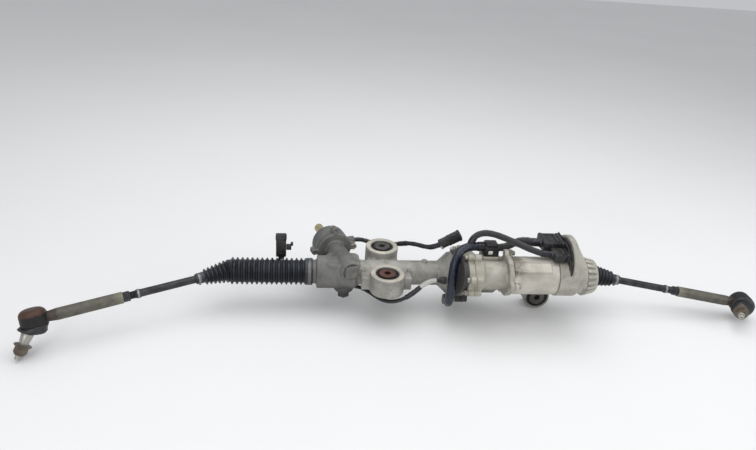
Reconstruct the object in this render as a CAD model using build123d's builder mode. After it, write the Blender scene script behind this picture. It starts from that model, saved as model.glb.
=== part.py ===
"""Belt-driven electric steering rack, modelled as separate pieces in one frame.

Millimetres. The origin is on the bore axis of the front mount bush, at the height of the rack.
+X runs along the rack to the motor side, +Y to the input shaft, and +Z up through the mount bushes.
"""

from math import atan2, cos, degrees, hypot, pi, radians, sin, tan
import os

from build123d import *

# ---- clearances -------------------------------------------------------------------------------
RUNNING_GAP = 0.05      # radial, shaft in its bearing or bush
SOFT_GAP = 0.3          # between curved faces of different bodies
OPEN_GAP = 1.0          # round parts that turn inside a housing
JOIN = 3.0              # how far joined shapes run into each other
OVERSHOOT = 1.0         # how far a cutting shape runs past the face it opens

# ---- rack bar ---------------------------------------------------------------------------------
BUSH_PITCH = 110.0      # front mount bore to rear mount bore
RACK_Y = BUSH_PITCH / 2
RACK_RADIUS = 14.0
RACK_TRAVEL = 100.0
LEFT_PIVOT_X = -307.0
RIGHT_PIVOT_X = 438.0
PIVOT_TO_RACK_END = 22.0

# ---- pinion and its mesh ----------------------------------------------------------------------
PINION_X = -80.0
PINION_TILT = 18.0      # degrees, from square to the rack
MODULE = 2.4
PINION_TEETH = 8
PINION_PITCH_RADIUS = MODULE * PINION_TEETH / 2
RACK_PITCH_HEIGHT = 10.4
PINION_Z = RACK_PITCH_HEIGHT + PINION_PITCH_RADIUS
TOOTH_ADDENDUM = 2.0
TOOTH_DEDENDUM = 2.8
PRESSURE_ANGLE = 20.0
RACK_SLOT_FLOOR = 2.6
PINION_TOOTH_WIDTH = 2.3
TOOTH_FACE_HALF = 17.0  # half length of the pinion teeth

# ---- pinion housing casting -------------------------------------------------------------------
RACK_BORE_RADIUS = 17.0
TUBE_RADIUS = 25.0
HOUSING_LEFT_X = -160.0
COLLAR_RADIUS = 24.0
COLLAR_LENGTH = 24.0
BODY_LEFT_X = HOUSING_LEFT_X + COLLAR_LENGTH
BODY_RADIUS = 33.0
BODY_RIGHT_X = -58.0
PINION_CASE_RADIUS = 20.0
PINION_BORE_RADIUS = 15.0
PINION_CASE_FRONT = -36.0
SENSOR_FLANGE_S = 58.0
SENSOR_FLANGE_THICKNESS = 7.0
SENSOR_RADIUS = 36.5
SENSOR_BOLT_RADIUS = 43.0
SENSOR_DEPTH = 40.0
SENSOR_WALL = 4.0
YOKE_X = PINION_X
YOKE_CASE_RADIUS = 20.0
YOKE_RADIUS = 14.0
YOKE_CASE_BOTTOM = -40.0
FLARE_START_X = 112.0
FLARE_END_X = 140.0
FLARE_RADIUS = 44.0
FLARE_FLANGE = 8.0
FLARE_CAVITY_RADIUS = 36.0

# ---- mount bushes -----------------------------------------------------------------------------
BOSS_RADIUS = 34.0
BOSS_TOP = 32.0
BOSS_BOTTOM = -8.0
BUSH_RADIUS = 23.0
SLEEVE_RADIUS = 11.5
BUSH_BOLT_RADIUS = 6.2
SLEEVE_PROUD = 2.0
REAR_WEB_TOP = 14.0
WEB_THICKNESS = 7.0

# ---- belt drive -------------------------------------------------------------------------------
MOTOR_Y = RACK_Y - 72.0
MOTOR_Z = 40.0
COVER_LENGTH = 22.0
CASE_WALL = 5.0
BIG_LOBE_RADIUS = 48.0
SMALL_LOBE_RADIUS = 31.0
BIG_CAVITY_RADIUS = BIG_LOBE_RADIUS - CASE_WALL
SMALL_CAVITY_RADIUS = SMALL_LOBE_RADIUS - CASE_WALL
BARREL_LOBE_RADIUS = 27.0
BELT_WIDTH = 22.0
BELT_THICKNESS = 3.0
NUT_PULLEY_RADIUS = 38.0
BELT_RATIO = 3.0
MOTOR_PULLEY_RADIUS = NUT_PULLEY_RADIUS / BELT_RATIO
BALL_NUT_RADIUS = 23.0
BALL_NUT_LENGTH = 56.0
NUT_BEARING_WIDTH = 16.0
NUT_BEARING_RADIUS = 35.0
MOTOR_FLANGE_X = 226.0
MOTOR_FLANGE_THICKNESS = 10.0
MOTOR_FLANGE_RADIUS = 40.0
GEAR_CASE_END_X = 246.0

# ---- motor and control unit -------------------------------------------------------------------
MOTOR_RADIUS = 37.0
MOTOR_LENGTH = 91.0
MOTOR_WALL = 3.5
ROTOR_RADIUS = 20.0
MOTOR_SHAFT_RADIUS = 6.0
UNIT_LENGTH = 39.0
UNIT_RADIUS = 39.5
UNIT_FLANGE_RADIUS = 55.0
UNIT_FLANGE_THICKNESS = 12.0
UNIT_FLANGE_Y = MOTOR_Y + 15.0
UNIT_FLANGE_Z = MOTOR_Z + 22.0
FIN_CAP_LENGTH = 34.0
FIN_CAP_END_RADIUS = 33.0
FIN_COUNT = 20
FIN_SLOT_LENGTH = 17.0
FIN_SLOT_WIDTH = 5.0
FIN_SLOT_DEPTH = 8.0
SHAFT_SUPPORT = 8.0

# ---- right tube and its mount -----------------------------------------------------------------
HOUSING_RIGHT_X = 400.0
SIDE_MOUNT_X = 334.0
SIDE_MOUNT_DROP = 55.0
SIDE_MOUNT_Y = RACK_Y - 6.0
SIDE_MOUNT_LENGTH = 40.0
SIDE_MOUNT_RADIUS = 27.0

# ---- bellows ----------------------------------------------------------------------------------
BELLOWS_PEAK = 27.5
BELLOWS_VALLEY = 22.5
BELLOWS_SKIN = 2.0
BELLOWS_FOLDS = 15
NOSE_PEAK = 19.0
NOSE_VALLEY = 15.0
NOSE_FOLDS = 4
NOSE_START = 14.0
NOSE_FOLDS_LENGTH = 38.0
NOSE_END = 68.0
CUFF_LENGTH = 13.0

# ---- tie rods ---------------------------------------------------------------------------------
INNER_BALL_RADIUS = 12.0
INNER_SEAT_RADIUS = 15.0
SOCKET_RADIUS = 18.0
BALL_OPENING = 64.0     # half angle of a socket mouth, degrees
SOCKET_LIP = 0.6
SOCKET_FLATS = 30.0
SOCKET_HEX_LENGTH = 8.0
INNER_NECK_RADIUS = 6.0
INNER_NECK_LENGTH = 18.0
INNER_SHOULDER_LENGTH = 8.0
INNER_ROD_RADIUS = 7.5
INNER_ROD_LENGTH = 212.0
CUFF_GROOVE_LENGTH = 6.0
CUFF_GROOVE_DEPTH = 1.5
NOSE_CUFF_RADIUS = INNER_ROD_RADIUS + 2.4
SLEEVE_ENGAGEMENT = 10.0
SLEEVE_LENGTH = 110.0
SLEEVE_S = INNER_ROD_LENGTH - SLEEVE_ENGAGEMENT
SLEEVE_END_S = SLEEVE_S + SLEEVE_LENGTH
SLEEVE_OUTER_RADIUS = 11.0
JAM_NUT_LENGTH = 12.0
JAM_NUT_FLATS = 19.0
JAM_NUT_S = SLEEVE_S - JAM_NUT_LENGTH
NECK_RADIUS = 8.8
NECK_TAPER_LENGTH = 20.0
NECK_LENGTH = 10.0
BALL_CENTRE_S = SLEEVE_END_S + 38.0
CASE_LIP = 3.6
OUTER_BALL_RADIUS = 13.0
OUTER_SEAT_RADIUS = 16.0
OUTER_CASE_RADIUS = 22.5
OUTER_CASE_BACK = 20.0
OUTER_CASE_DOME = 11.0
STUD_NECK_RADIUS = 7.5
STUD_TAPER_RADIUS = 10.5
STUD_TAPER_START = 24.0
STUD_TAPER_END = 45.0
STUD_TAPER_TIP_RADIUS = 7.6
STUD_THREAD_RADIUS = 7.0
STUD_LENGTH = 73.0
STUD_TIP_LENGTH = 7.0
STUD_TIP_RADIUS = 5.0
STUD_NUT_START = 46.0
STUD_NUT_LENGTH = 18.0
STUD_NUT_FLATS = 20.0
STUD_NUT_FLANGE = 15.0
STUD_NUT_FLANGE_THICKNESS = 3.0
BOOT_SEAT_RADIUS = 21.5
BOOT_BELLY = 17.0
BOOT_BELLY_RADIUS = 23.5
BOOT_END = 23.5
BOOT_NECK_RADIUS = 11.0
BOOT_SKIN = 2.5

os.makedirs("parts", exist_ok=True)


# ---- planes and shared shapes -----------------------------------------------------------------
def across(x, y=RACK_Y, z=0.0):
    """Plane square to the rack at x, with local x along +Y and local y along +Z."""
    return Plane(origin=(x, y, z), x_dir=(0, 1, 0), z_dir=(1, 0, 0))


PINION_DIRECTION = Vector(-sin(radians(PINION_TILT)), cos(radians(PINION_TILT)), 0)


def along_pinion(s, drop=0.0):
    """Plane square to the pinion at distance s behind the rack, with local y along +Z."""
    centre = Vector(PINION_X, RACK_Y, PINION_Z - drop) + PINION_DIRECTION * s
    return Plane(origin=centre, x_dir=(-PINION_DIRECTION.Y, PINION_DIRECTION.X, 0), z_dir=PINION_DIRECTION)


def round_bar(plane, radius, length, mode=Mode.ADD):
    """Cylinder from plane, along its normal."""
    with BuildSketch(plane) as outline:
        Circle(radius)
    extrude(outline.sketch, amount=length, mode=mode)


def ring(plane, outer, inner, length, mode=Mode.ADD):
    """Tube from plane, along its normal."""
    with BuildSketch(plane) as outline:
        Circle(outer)
        Circle(inner, mode=Mode.SUBTRACT)
    extrude(outline.sketch, amount=length, mode=mode)


def cone(plane, start, end, length, mode=Mode.ADD):
    """Round taper from radius start at plane to radius end."""
    with BuildSketch(plane) as first:
        Circle(start)
    with BuildSketch(plane.offset(length)) as last:
        Circle(end)
    loft(Sketch() + [first.sketch, last.sketch], mode=mode)


def hexagon(plane, flats, length, mode=Mode.ADD):
    """Six-sided bar from plane, along its normal."""
    with BuildSketch(plane) as outline:
        RegularPolygon(radius=flats / 2, side_count=6, major_radius=False)
    extrude(outline.sketch, amount=length, mode=mode)


def belt_outline(plane, big, small):
    """Face of the belt drive case: two round lobes with straight sides, as a sketch."""
    offset_y = MOTOR_Y - RACK_Y
    distance = hypot(offset_y, MOTOR_Z)
    heading = atan2(MOTOR_Z, offset_y)
    lean = atan2(big - small, (distance**2 - (big - small) ** 2) ** 0.5)
    side = pi / 2 - lean
    corners = []
    for turn in (side, -side):
        corners.append((big * cos(heading + turn), big * sin(heading + turn)))
    for turn in (-side, side):
        reach = (offset_y + small * cos(heading + turn), MOTOR_Z + small * sin(heading + turn))
        corners.append(reach)
    with BuildSketch(plane) as outline:
        with BuildLine():
            Polyline(*corners, close=True)
        make_face()
        Circle(big)
        with Locations((offset_y, MOTOR_Z)):
            Circle(small)
    return outline.sketch


def save(builder, name):
    """Labels a finished piece and writes it."""
    builder.part.label = name
    export_step(builder.part, f"parts/{name}.step")


# ---- pinion housing ---------------------------------------------------------------------------
COVER_X = FLARE_END_X
MOUNT_HEIGHT = BOSS_TOP - BOSS_BOTTOM
CLIP_LUG_X = 46.0
CLIP_LUG_SIZE = (6.0, 12.0, 12.0)
CLIP_LUG_REACH = 6.0
STRAP_Y = RACK_Y + 38.0
STRAP_Z = -6.0
STRAP_HEIGHT = 12.0
STRAP_LUG_X = -127.0
STRAP_LUG_LENGTH = 14.0
BREATHER_X = 82.0
BREATHER_RADIUS = 7.5
EAR_RADIUS = 7.0
SCREW_RADIUS = 3.0
PLATE_LENGTH = 99.0
PLATE_TOP = 20.0
PLATE_REACH = 58.0
WEB_SPREAD = 28.0
BLOCK_X = PINION_X - 4.0
BLOCK_LENGTH = 66.0
BLOCK_WIDTH = 54.0
BLOCK_CORNER = 12.0
BLOCK_DEPTH = 20.0
BLOCK_TOP = 30.0

with BuildPart() as pinion_housing:
    round_bar(across(HOUSING_LEFT_X), COLLAR_RADIUS, COLLAR_LENGTH + JOIN)
    round_bar(across(BODY_LEFT_X), BODY_RADIUS, BODY_RIGHT_X - BODY_LEFT_X)
    round_bar(across(BODY_RIGHT_X - JOIN), TUBE_RADIUS, FLARE_START_X - BODY_RIGHT_X + 2 * JOIN)
    case_length = SENSOR_FLANGE_S - PINION_CASE_FRONT + JOIN
    round_bar(along_pinion(PINION_CASE_FRONT), PINION_CASE_RADIUS, case_length)
    with BuildSketch(Plane.XY.offset(YOKE_CASE_BOTTOM)):
        with Locations((YOKE_X, RACK_Y)):
            Circle(YOKE_CASE_RADIUS)
    extrude(amount=-YOKE_CASE_BOTTOM + JOIN)
    # a rounded block behind the yoke case and the end plug
    with BuildSketch(Plane.XY.offset(-BLOCK_DEPTH)):
        with Locations((BLOCK_X, RACK_Y)):
            RectangleRounded(BLOCK_LENGTH, BLOCK_WIDTH, BLOCK_CORNER)
    extrude(amount=BLOCK_DEPTH + BLOCK_TOP)
    # flare towards the belt drive
    cone(across(FLARE_START_X), TUBE_RADIUS + 1, FLARE_RADIUS, FLARE_END_X - FLARE_START_X - FLARE_FLANGE)
    round_bar(across(FLARE_END_X - FLARE_FLANGE - OVERSHOOT), FLARE_RADIUS, FLARE_FLANGE + OVERSHOOT)
    # front boss on its plate, and the rear boss on three webs
    with BuildSketch(Plane.XY.offset(BOSS_BOTTOM)):
        with Locations((0, PLATE_REACH / 2)):
            Rectangle(PLATE_LENGTH, PLATE_REACH)
    extrude(amount=PLATE_TOP - BOSS_BOTTOM)
    with BuildSketch(Plane.XY.offset(BOSS_BOTTOM)):
        for offset_x in (-WEB_SPREAD, 0, WEB_SPREAD):
            with Locations((offset_x, RACK_Y + BUSH_PITCH / 4)):
                Rectangle(WEB_THICKNESS, BUSH_PITCH / 2)
    extrude(amount=REAR_WEB_TOP - BOSS_BOTTOM)
    with BuildSketch(Plane.XY.offset(BOSS_BOTTOM)):
        with Locations((0, 0), (0, BUSH_PITCH)):
            Circle(BOSS_RADIUS)
    extrude(amount=MOUNT_HEIGHT)
    # sensor flange with four bolt ears
    round_bar(along_pinion(SENSOR_FLANGE_S), SENSOR_RADIUS, SENSOR_FLANGE_THICKNESS)
    with BuildSketch(along_pinion(SENSOR_FLANGE_S)):
        with PolarLocations(SENSOR_BOLT_RADIUS, 4):
            Circle(EAR_RADIUS)
    extrude(amount=SENSOR_FLANGE_THICKNESS)
    # lugs for the cable clips, and the breather boss on the tube
    for offset_x in (-CLIP_LUG_X, CLIP_LUG_X):
        with Locations((offset_x, RACK_Y - TUBE_RADIUS - CLIP_LUG_REACH, PLATE_TOP)):
            Box(*CLIP_LUG_SIZE)
    with BuildSketch(Plane.XY.offset(RACK_BORE_RADIUS + 2)):
        with Locations((BREATHER_X, RACK_Y)):
            Circle(BREATHER_RADIUS)
    extrude(amount=TUBE_RADIUS - RACK_BORE_RADIUS)
    with BuildSketch(Plane.XZ.offset(-STRAP_Y)):
        with Locations((STRAP_LUG_X, STRAP_Z)):
            Rectangle(STRAP_LUG_LENGTH, STRAP_HEIGHT)
    extrude(amount=STRAP_Y - RACK_Y - RACK_BORE_RADIUS - JOIN)
    # bores
    round_bar(
        across(HOUSING_LEFT_X - OVERSHOOT),
        RACK_BORE_RADIUS,
        FLARE_END_X - HOUSING_LEFT_X + 2 * OVERSHOOT,
        Mode.SUBTRACT,
    )
    cone(
        across(FLARE_START_X + 2 * CASE_WALL),
        RACK_BORE_RADIUS - 1,
        FLARE_CAVITY_RADIUS,
        FLARE_END_X - FLARE_START_X - 2 * CASE_WALL,
        Mode.SUBTRACT,
    )
    round_bar(
        along_pinion(PINION_CASE_FRONT - OVERSHOOT),
        PINION_BORE_RADIUS,
        SENSOR_FLANGE_S + SENSOR_FLANGE_THICKNESS - PINION_CASE_FRONT + 2 * OVERSHOOT,
        Mode.SUBTRACT,
    )
    with BuildSketch(Plane.XY.offset(YOKE_CASE_BOTTOM - OVERSHOOT)):
        with Locations((YOKE_X, RACK_Y)):
            Circle(YOKE_RADIUS + RUNNING_GAP)
    extrude(amount=-YOKE_CASE_BOTTOM + OVERSHOOT, mode=Mode.SUBTRACT)
    with BuildSketch(Plane.XY.offset(BOSS_BOTTOM - OVERSHOOT)):
        with Locations((0, 0), (0, BUSH_PITCH)):
            Circle(BUSH_RADIUS)
    extrude(amount=MOUNT_HEIGHT + 2 * OVERSHOOT, mode=Mode.SUBTRACT)
    with BuildSketch(along_pinion(SENSOR_FLANGE_S)):
        with PolarLocations(SENSOR_BOLT_RADIUS, 4):
            Circle(SCREW_RADIUS)
    extrude(amount=SENSOR_FLANGE_THICKNESS, mode=Mode.SUBTRACT)
save(pinion_housing, "pinion_housing")

# ---- belt cover -------------------------------------------------------------------------------
CASE_X = COVER_X + COVER_LENGTH
CASE_BOLT_EAR = 7.0
CASE_BOLT_REACH = 6.0
CASE_EAR_THICKNESS = 12.0
BIG_LOBE_BOLTS = (35, -15, -65, -110, 80)       # degrees, from the front towards the top
SMALL_LOBE_BOLTS = (88, 165, 218)


def case_bolt_spots():
    """Places of the belt case bolts, round both lobes, in the plane across the rack."""
    offset_y = MOTOR_Y - RACK_Y
    spots = []
    for angle in BIG_LOBE_BOLTS:
        reach = BIG_LOBE_RADIUS + CASE_BOLT_REACH
        spots.append((reach * cos(radians(angle)), reach * sin(radians(angle))))
    for angle in SMALL_LOBE_BOLTS:
        reach = SMALL_LOBE_RADIUS + CASE_BOLT_REACH
        spots.append((offset_y + reach * cos(radians(angle)), MOTOR_Z + reach * sin(radians(angle))))
    return spots


with BuildPart() as belt_cover:
    extrude(belt_outline(across(COVER_X), BIG_LOBE_RADIUS, SMALL_LOBE_RADIUS), amount=COVER_LENGTH)
    with BuildSketch(across(CASE_X - CASE_EAR_THICKNESS)):
        with Locations(*case_bolt_spots()):
            Circle(CASE_BOLT_EAR)
    extrude(amount=CASE_EAR_THICKNESS)
    extrude(
        belt_outline(across(COVER_X + CASE_WALL), BIG_CAVITY_RADIUS, SMALL_CAVITY_RADIUS),
        amount=COVER_LENGTH,
        mode=Mode.SUBTRACT,
    )
    round_bar(across(COVER_X), FLARE_CAVITY_RADIUS, CASE_WALL, Mode.SUBTRACT)
    with BuildSketch(across(COVER_X)):
        with Locations(*case_bolt_spots()):
            Circle(SCREW_RADIUS)
    extrude(amount=COVER_LENGTH, mode=Mode.SUBTRACT)
save(belt_cover, "belt_cover")

# ---- gear case: belt drive, ball nut barrel and motor flange ----------------------------------
CASE_CAVITY_DEPTH = 14.0
NUT_BARREL_RADIUS = 40.0
NUT_BEARING_X = CASE_X + CASE_CAVITY_DEPTH + 4.0
NUT_CHAMBER_GAP = 5.0
NUT_CHAMBER_END_X = MOTOR_FLANGE_X + 4.0
BARREL_INSET = 12.0
BARREL_CONE_RADIUS = TUBE_RADIUS + 4.0
MOTOR_EAR_RADIUS = 8.0
MOTOR_EAR_REACH = 3.0
MOTOR_EAR_ANGLES = (60, 180, 292)
PULLEY_START_X = COVER_X + CASE_WALL + 4.0
PAD_X = 205.0
PAD_Y = RACK_Y - 30.0
PAD_LENGTH = 36.0
PAD_WIDTH = 30.0
PAD_CORNER = 4.0
PAD_BOTTOM = 32.0
PAD_TOP = 64.0


def motor_ear_spots(angles=MOTOR_EAR_ANGLES):
    """Places of the motor bolts about the motor axis."""
    reach = MOTOR_FLANGE_RADIUS + MOTOR_EAR_REACH
    return [(reach * cos(radians(angle)), reach * sin(radians(angle))) for angle in angles]


with BuildPart() as gear_case:
    case_face = belt_outline(across(CASE_X), BIG_LOBE_RADIUS, SMALL_LOBE_RADIUS)
    extrude(case_face, amount=CASE_CAVITY_DEPTH + CASE_WALL)
    with BuildSketch(across(CASE_X)):
        with Locations(*case_bolt_spots()):
            Circle(CASE_BOLT_EAR)
    extrude(amount=CASE_CAVITY_DEPTH)
    round_bar(across(CASE_X), NUT_BARREL_RADIUS, MOTOR_FLANGE_X - CASE_X + JOIN)
    round_bar(across(CASE_X, MOTOR_Y, MOTOR_Z), BARREL_LOBE_RADIUS, MOTOR_FLANGE_X - CASE_X)
    extrude(
        belt_outline(across(CASE_X), NUT_BARREL_RADIUS - BARREL_INSET, BARREL_LOBE_RADIUS - BARREL_INSET),
        amount=MOTOR_FLANGE_X - CASE_X,
    )
    cone(across(MOTOR_FLANGE_X), NUT_BARREL_RADIUS, BARREL_CONE_RADIUS, GEAR_CASE_END_X - MOTOR_FLANGE_X)
    round_bar(across(MOTOR_FLANGE_X, MOTOR_Y, MOTOR_Z), MOTOR_FLANGE_RADIUS, MOTOR_FLANGE_THICKNESS)
    with BuildSketch(across(MOTOR_FLANGE_X, MOTOR_Y, MOTOR_Z)):
        with Locations(*motor_ear_spots()):
            Circle(MOTOR_EAR_RADIUS)
    extrude(amount=MOTOR_FLANGE_THICKNESS)
    with BuildSketch(Plane.XY.offset(PAD_BOTTOM)):
        with Locations((PAD_X, PAD_Y)):
            RectangleRounded(PAD_LENGTH, PAD_WIDTH, PAD_CORNER)
    extrude(amount=PAD_TOP - PAD_BOTTOM)
    # belt cavity, nut chamber and bearing seat
    extrude(
        belt_outline(across(CASE_X), BIG_CAVITY_RADIUS, SMALL_CAVITY_RADIUS),
        amount=CASE_CAVITY_DEPTH,
        mode=Mode.SUBTRACT,
    )
    round_bar(across(CASE_X), NUT_BEARING_RADIUS, NUT_BEARING_X + NUT_BEARING_WIDTH - CASE_X, Mode.SUBTRACT)
    round_bar(across(CASE_X), BALL_NUT_RADIUS + NUT_CHAMBER_GAP, NUT_CHAMBER_END_X - CASE_X, Mode.SUBTRACT)
    round_bar(across(CASE_X), RACK_BORE_RADIUS, GEAR_CASE_END_X - CASE_X, Mode.SUBTRACT)
    # motor shaft passage and the motor spigot
    round_bar(
        across(CASE_X, MOTOR_Y, MOTOR_Z),
        BARREL_LOBE_RADIUS - SHAFT_SUPPORT,
        MOTOR_FLANGE_X - CASE_X - SHAFT_SUPPORT,
        Mode.SUBTRACT,
    )
    round_bar(
        across(CASE_X, MOTOR_Y, MOTOR_Z),
        MOTOR_SHAFT_RADIUS + OPEN_GAP,
        MOTOR_FLANGE_X + MOTOR_FLANGE_THICKNESS - CASE_X,
        Mode.SUBTRACT,
    )
    with BuildSketch(across(CASE_X)):
        with Locations(*case_bolt_spots()):
            Circle(SCREW_RADIUS)
    extrude(amount=CASE_CAVITY_DEPTH, mode=Mode.SUBTRACT)
    with BuildSketch(across(MOTOR_FLANGE_X, MOTOR_Y, MOTOR_Z)):
        with Locations(*motor_ear_spots()):
            Circle(SCREW_RADIUS)
    extrude(amount=MOTOR_FLANGE_THICKNESS, mode=Mode.SUBTRACT)
save(gear_case, "gear_case")

# ---- right rack tube with the side mount ------------------------------------------------------
ARM_THICKNESS = 24.0
ARM_TOP_WIDTH = 96.0
ARM_BOTTOM_WIDTH = 62.0
RIGHT_COLLAR_LENGTH = CUFF_LENGTH + 6.0
TUBE_RIM_LENGTH = 10.0

with BuildPart() as rack_tube:
    round_bar(across(GEAR_CASE_END_X), TUBE_RADIUS, HOUSING_RIGHT_X - RIGHT_COLLAR_LENGTH - GEAR_CASE_END_X)
    round_bar(across(HOUSING_RIGHT_X - RIGHT_COLLAR_LENGTH), COLLAR_RADIUS, RIGHT_COLLAR_LENGTH)
    round_bar(across(GEAR_CASE_END_X), BARREL_CONE_RADIUS, TUBE_RIM_LENGTH)
    with BuildSketch(Plane.XZ.offset(-SIDE_MOUNT_Y - SIDE_MOUNT_LENGTH)):
        with Locations((SIDE_MOUNT_X, -SIDE_MOUNT_DROP)):
            Circle(SIDE_MOUNT_RADIUS)
    extrude(amount=SIDE_MOUNT_LENGTH)
    with BuildSketch(Plane.XZ.offset(-SIDE_MOUNT_Y - SIDE_MOUNT_LENGTH / 2 - ARM_THICKNESS / 2)):
        with Locations((SIDE_MOUNT_X, -SIDE_MOUNT_DROP / 2)):
            Trapezoid(ARM_TOP_WIDTH, SIDE_MOUNT_DROP, ARM_BOTTOM_WIDTH, rotation=180)
    extrude(amount=ARM_THICKNESS)
    round_bar(across(GEAR_CASE_END_X), RACK_BORE_RADIUS, HOUSING_RIGHT_X - GEAR_CASE_END_X, Mode.SUBTRACT)
    with BuildSketch(Plane.XZ.offset(-SIDE_MOUNT_Y - SIDE_MOUNT_LENGTH)):
        with Locations((SIDE_MOUNT_X, -SIDE_MOUNT_DROP)):
            Circle(BUSH_RADIUS)
    extrude(amount=SIDE_MOUNT_LENGTH, mode=Mode.SUBTRACT)
save(rack_tube, "rack_tube")

# ---- mount bushes: rubber rings bonded to steel sleeves ---------------------------------------
RUBBER_RECESS = 3.0


def bush_rings(outer, inner, recess, proud):
    """Rings in all three mounts: two upright, and one lying front to back on the side mount."""
    with BuildSketch(Plane.XY.offset(BOSS_BOTTOM - proud)) as upright:
        with Locations((0, 0), (0, BUSH_PITCH)):
            Circle(outer)
            Circle(inner, mode=Mode.SUBTRACT)
    extrude(upright.sketch, amount=MOUNT_HEIGHT + proud - recess)
    with BuildSketch(Plane.XZ.offset(-SIDE_MOUNT_Y - SIDE_MOUNT_LENGTH - proud)) as lying:
        with Locations((SIDE_MOUNT_X, -SIDE_MOUNT_DROP)):
            Circle(outer)
            Circle(inner, mode=Mode.SUBTRACT)
    extrude(lying.sketch, amount=SIDE_MOUNT_LENGTH + 2 * proud)


with BuildPart() as bush_rubbers:
    bush_rings(BUSH_RADIUS, SLEEVE_RADIUS, RUBBER_RECESS, 0)
save(bush_rubbers, "bush_rubbers")

with BuildPart() as bush_sleeves:
    bush_rings(SLEEVE_RADIUS, BUSH_BOLT_RADIUS, 0, SLEEVE_PROUD)
save(bush_sleeves, "bush_sleeves")

# ---- torque sensor and its fasteners ----------------------------------------------------------
SENSOR_BACK_S = SENSOR_FLANGE_S + SENSOR_FLANGE_THICKNESS
SENSOR_NOSE_RADIUS = 16.0
SENSOR_NOSE_LENGTH = 9.0
SENSOR_CROWN = 9.0
SENSOR_COIL_RADIUS = SENSOR_RADIUS - SENSOR_CROWN
INPUT_RADIUS = 9.5
INPUT_END_S = 163.0
INPUT_SPLINE_LENGTH = 20.0
INPUT_NECK_RADIUS = 7.5
SEAL_WIDTH = 6.0
SCREW_HEAD_RADIUS = 5.4
SCREW_HEAD_HEIGHT = 6.0

SENSOR_SOCKET_S = 88.0
SENSOR_SOCKET_RADIUS = 9.0
SENSOR_SOCKET_END = 54.0


def sensor_side(distance):
    """Plane square to the sensor's side socket, at this distance from the pinion axis."""
    plane = along_pinion(SENSOR_SOCKET_S)
    sideways = PINION_DIRECTION.cross(Vector(0, 0, 1))
    return Plane(origin=plane.origin + sideways * distance, x_dir=(0, 0, 1), z_dir=sideways)


with BuildPart() as sensor_housing:
    round_bar(along_pinion(SENSOR_BACK_S), SENSOR_RADIUS, SENSOR_DEPTH)
    rear_edge = sensor_housing.edges().sort_by(Axis((0, 0, 0), PINION_DIRECTION))[-1]
    fillet(rear_edge, SENSOR_CROWN)
    round_bar(along_pinion(SENSOR_BACK_S + SENSOR_DEPTH), SENSOR_NOSE_RADIUS, SENSOR_NOSE_LENGTH)
    with BuildSketch(along_pinion(SENSOR_BACK_S)):
        with PolarLocations(SENSOR_BOLT_RADIUS, 4):
            Circle(EAR_RADIUS)
    extrude(amount=SENSOR_FLANGE_THICKNESS)
    socket_start = SENSOR_COIL_RADIUS + OVERSHOOT
    round_bar(sensor_side(socket_start), SENSOR_SOCKET_RADIUS, SENSOR_SOCKET_END - socket_start)
    round_bar(along_pinion(SENSOR_BACK_S), SENSOR_COIL_RADIUS, SENSOR_DEPTH - SENSOR_WALL, Mode.SUBTRACT)
    round_bar(
        along_pinion(SENSOR_BACK_S),
        SENSOR_NOSE_RADIUS - SENSOR_WALL,
        SENSOR_DEPTH + SENSOR_NOSE_LENGTH,
        Mode.SUBTRACT,
    )
    with BuildSketch(along_pinion(SENSOR_BACK_S)):
        with PolarLocations(SENSOR_BOLT_RADIUS, 4):
            Circle(SCREW_RADIUS)
    extrude(amount=SENSOR_FLANGE_THICKNESS, mode=Mode.SUBTRACT)
save(sensor_housing, "sensor_housing")

with BuildPart() as input_seal:
    ring(
        along_pinion(SENSOR_BACK_S + SENSOR_DEPTH + SENSOR_NOSE_LENGTH - SEAL_WIDTH),
        SENSOR_NOSE_RADIUS - SENSOR_WALL,
        INPUT_RADIUS + RUNNING_GAP,
        SEAL_WIDTH,
    )
save(input_seal, "input_seal")

SENSOR_COIL_BORE = 12.5
SENSOR_COIL_LENGTH = 22.0
SENSOR_COIL_S = SENSOR_BACK_S + 6.0

with BuildPart() as torque_sensor_coil:
    ring(along_pinion(SENSOR_COIL_S), SENSOR_COIL_RADIUS, SENSOR_COIL_BORE, SENSOR_COIL_LENGTH)
save(torque_sensor_coil, "torque_sensor_coil")

# ---- pinion, its bearings, plug and yoke ------------------------------------------------------
LOWER_BEARING_S = -22.0
LOWER_BEARING_WIDTH = 4.0
UPPER_BEARING_S = 36.0
UPPER_BEARING_WIDTH = 12.0
PINION_JOURNAL_RADIUS = 7.0
UPPER_JOURNAL_RADIUS = 9.0
PLUG_FACE_S = -40.5
PLUG_SQUARE = 25.0
PLUG_CORNER = 7.0
PINION_TIP_RADIUS = PINION_PITCH_RADIUS + TOOTH_ADDENDUM
PINION_ROOT_RADIUS = PINION_PITCH_RADIUS - 2.5
TOOTH_FOOT_HALF = PINION_TOOTH_WIDTH * 0.7
TOOTH_TIP_HALF = PINION_TOOTH_WIDTH * 0.3
INPUT_GROOVE_WIDTH = 6.0
INPUT_GROOVE_END_S = INPUT_END_S - INPUT_SPLINE_LENGTH - 2.0

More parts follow.
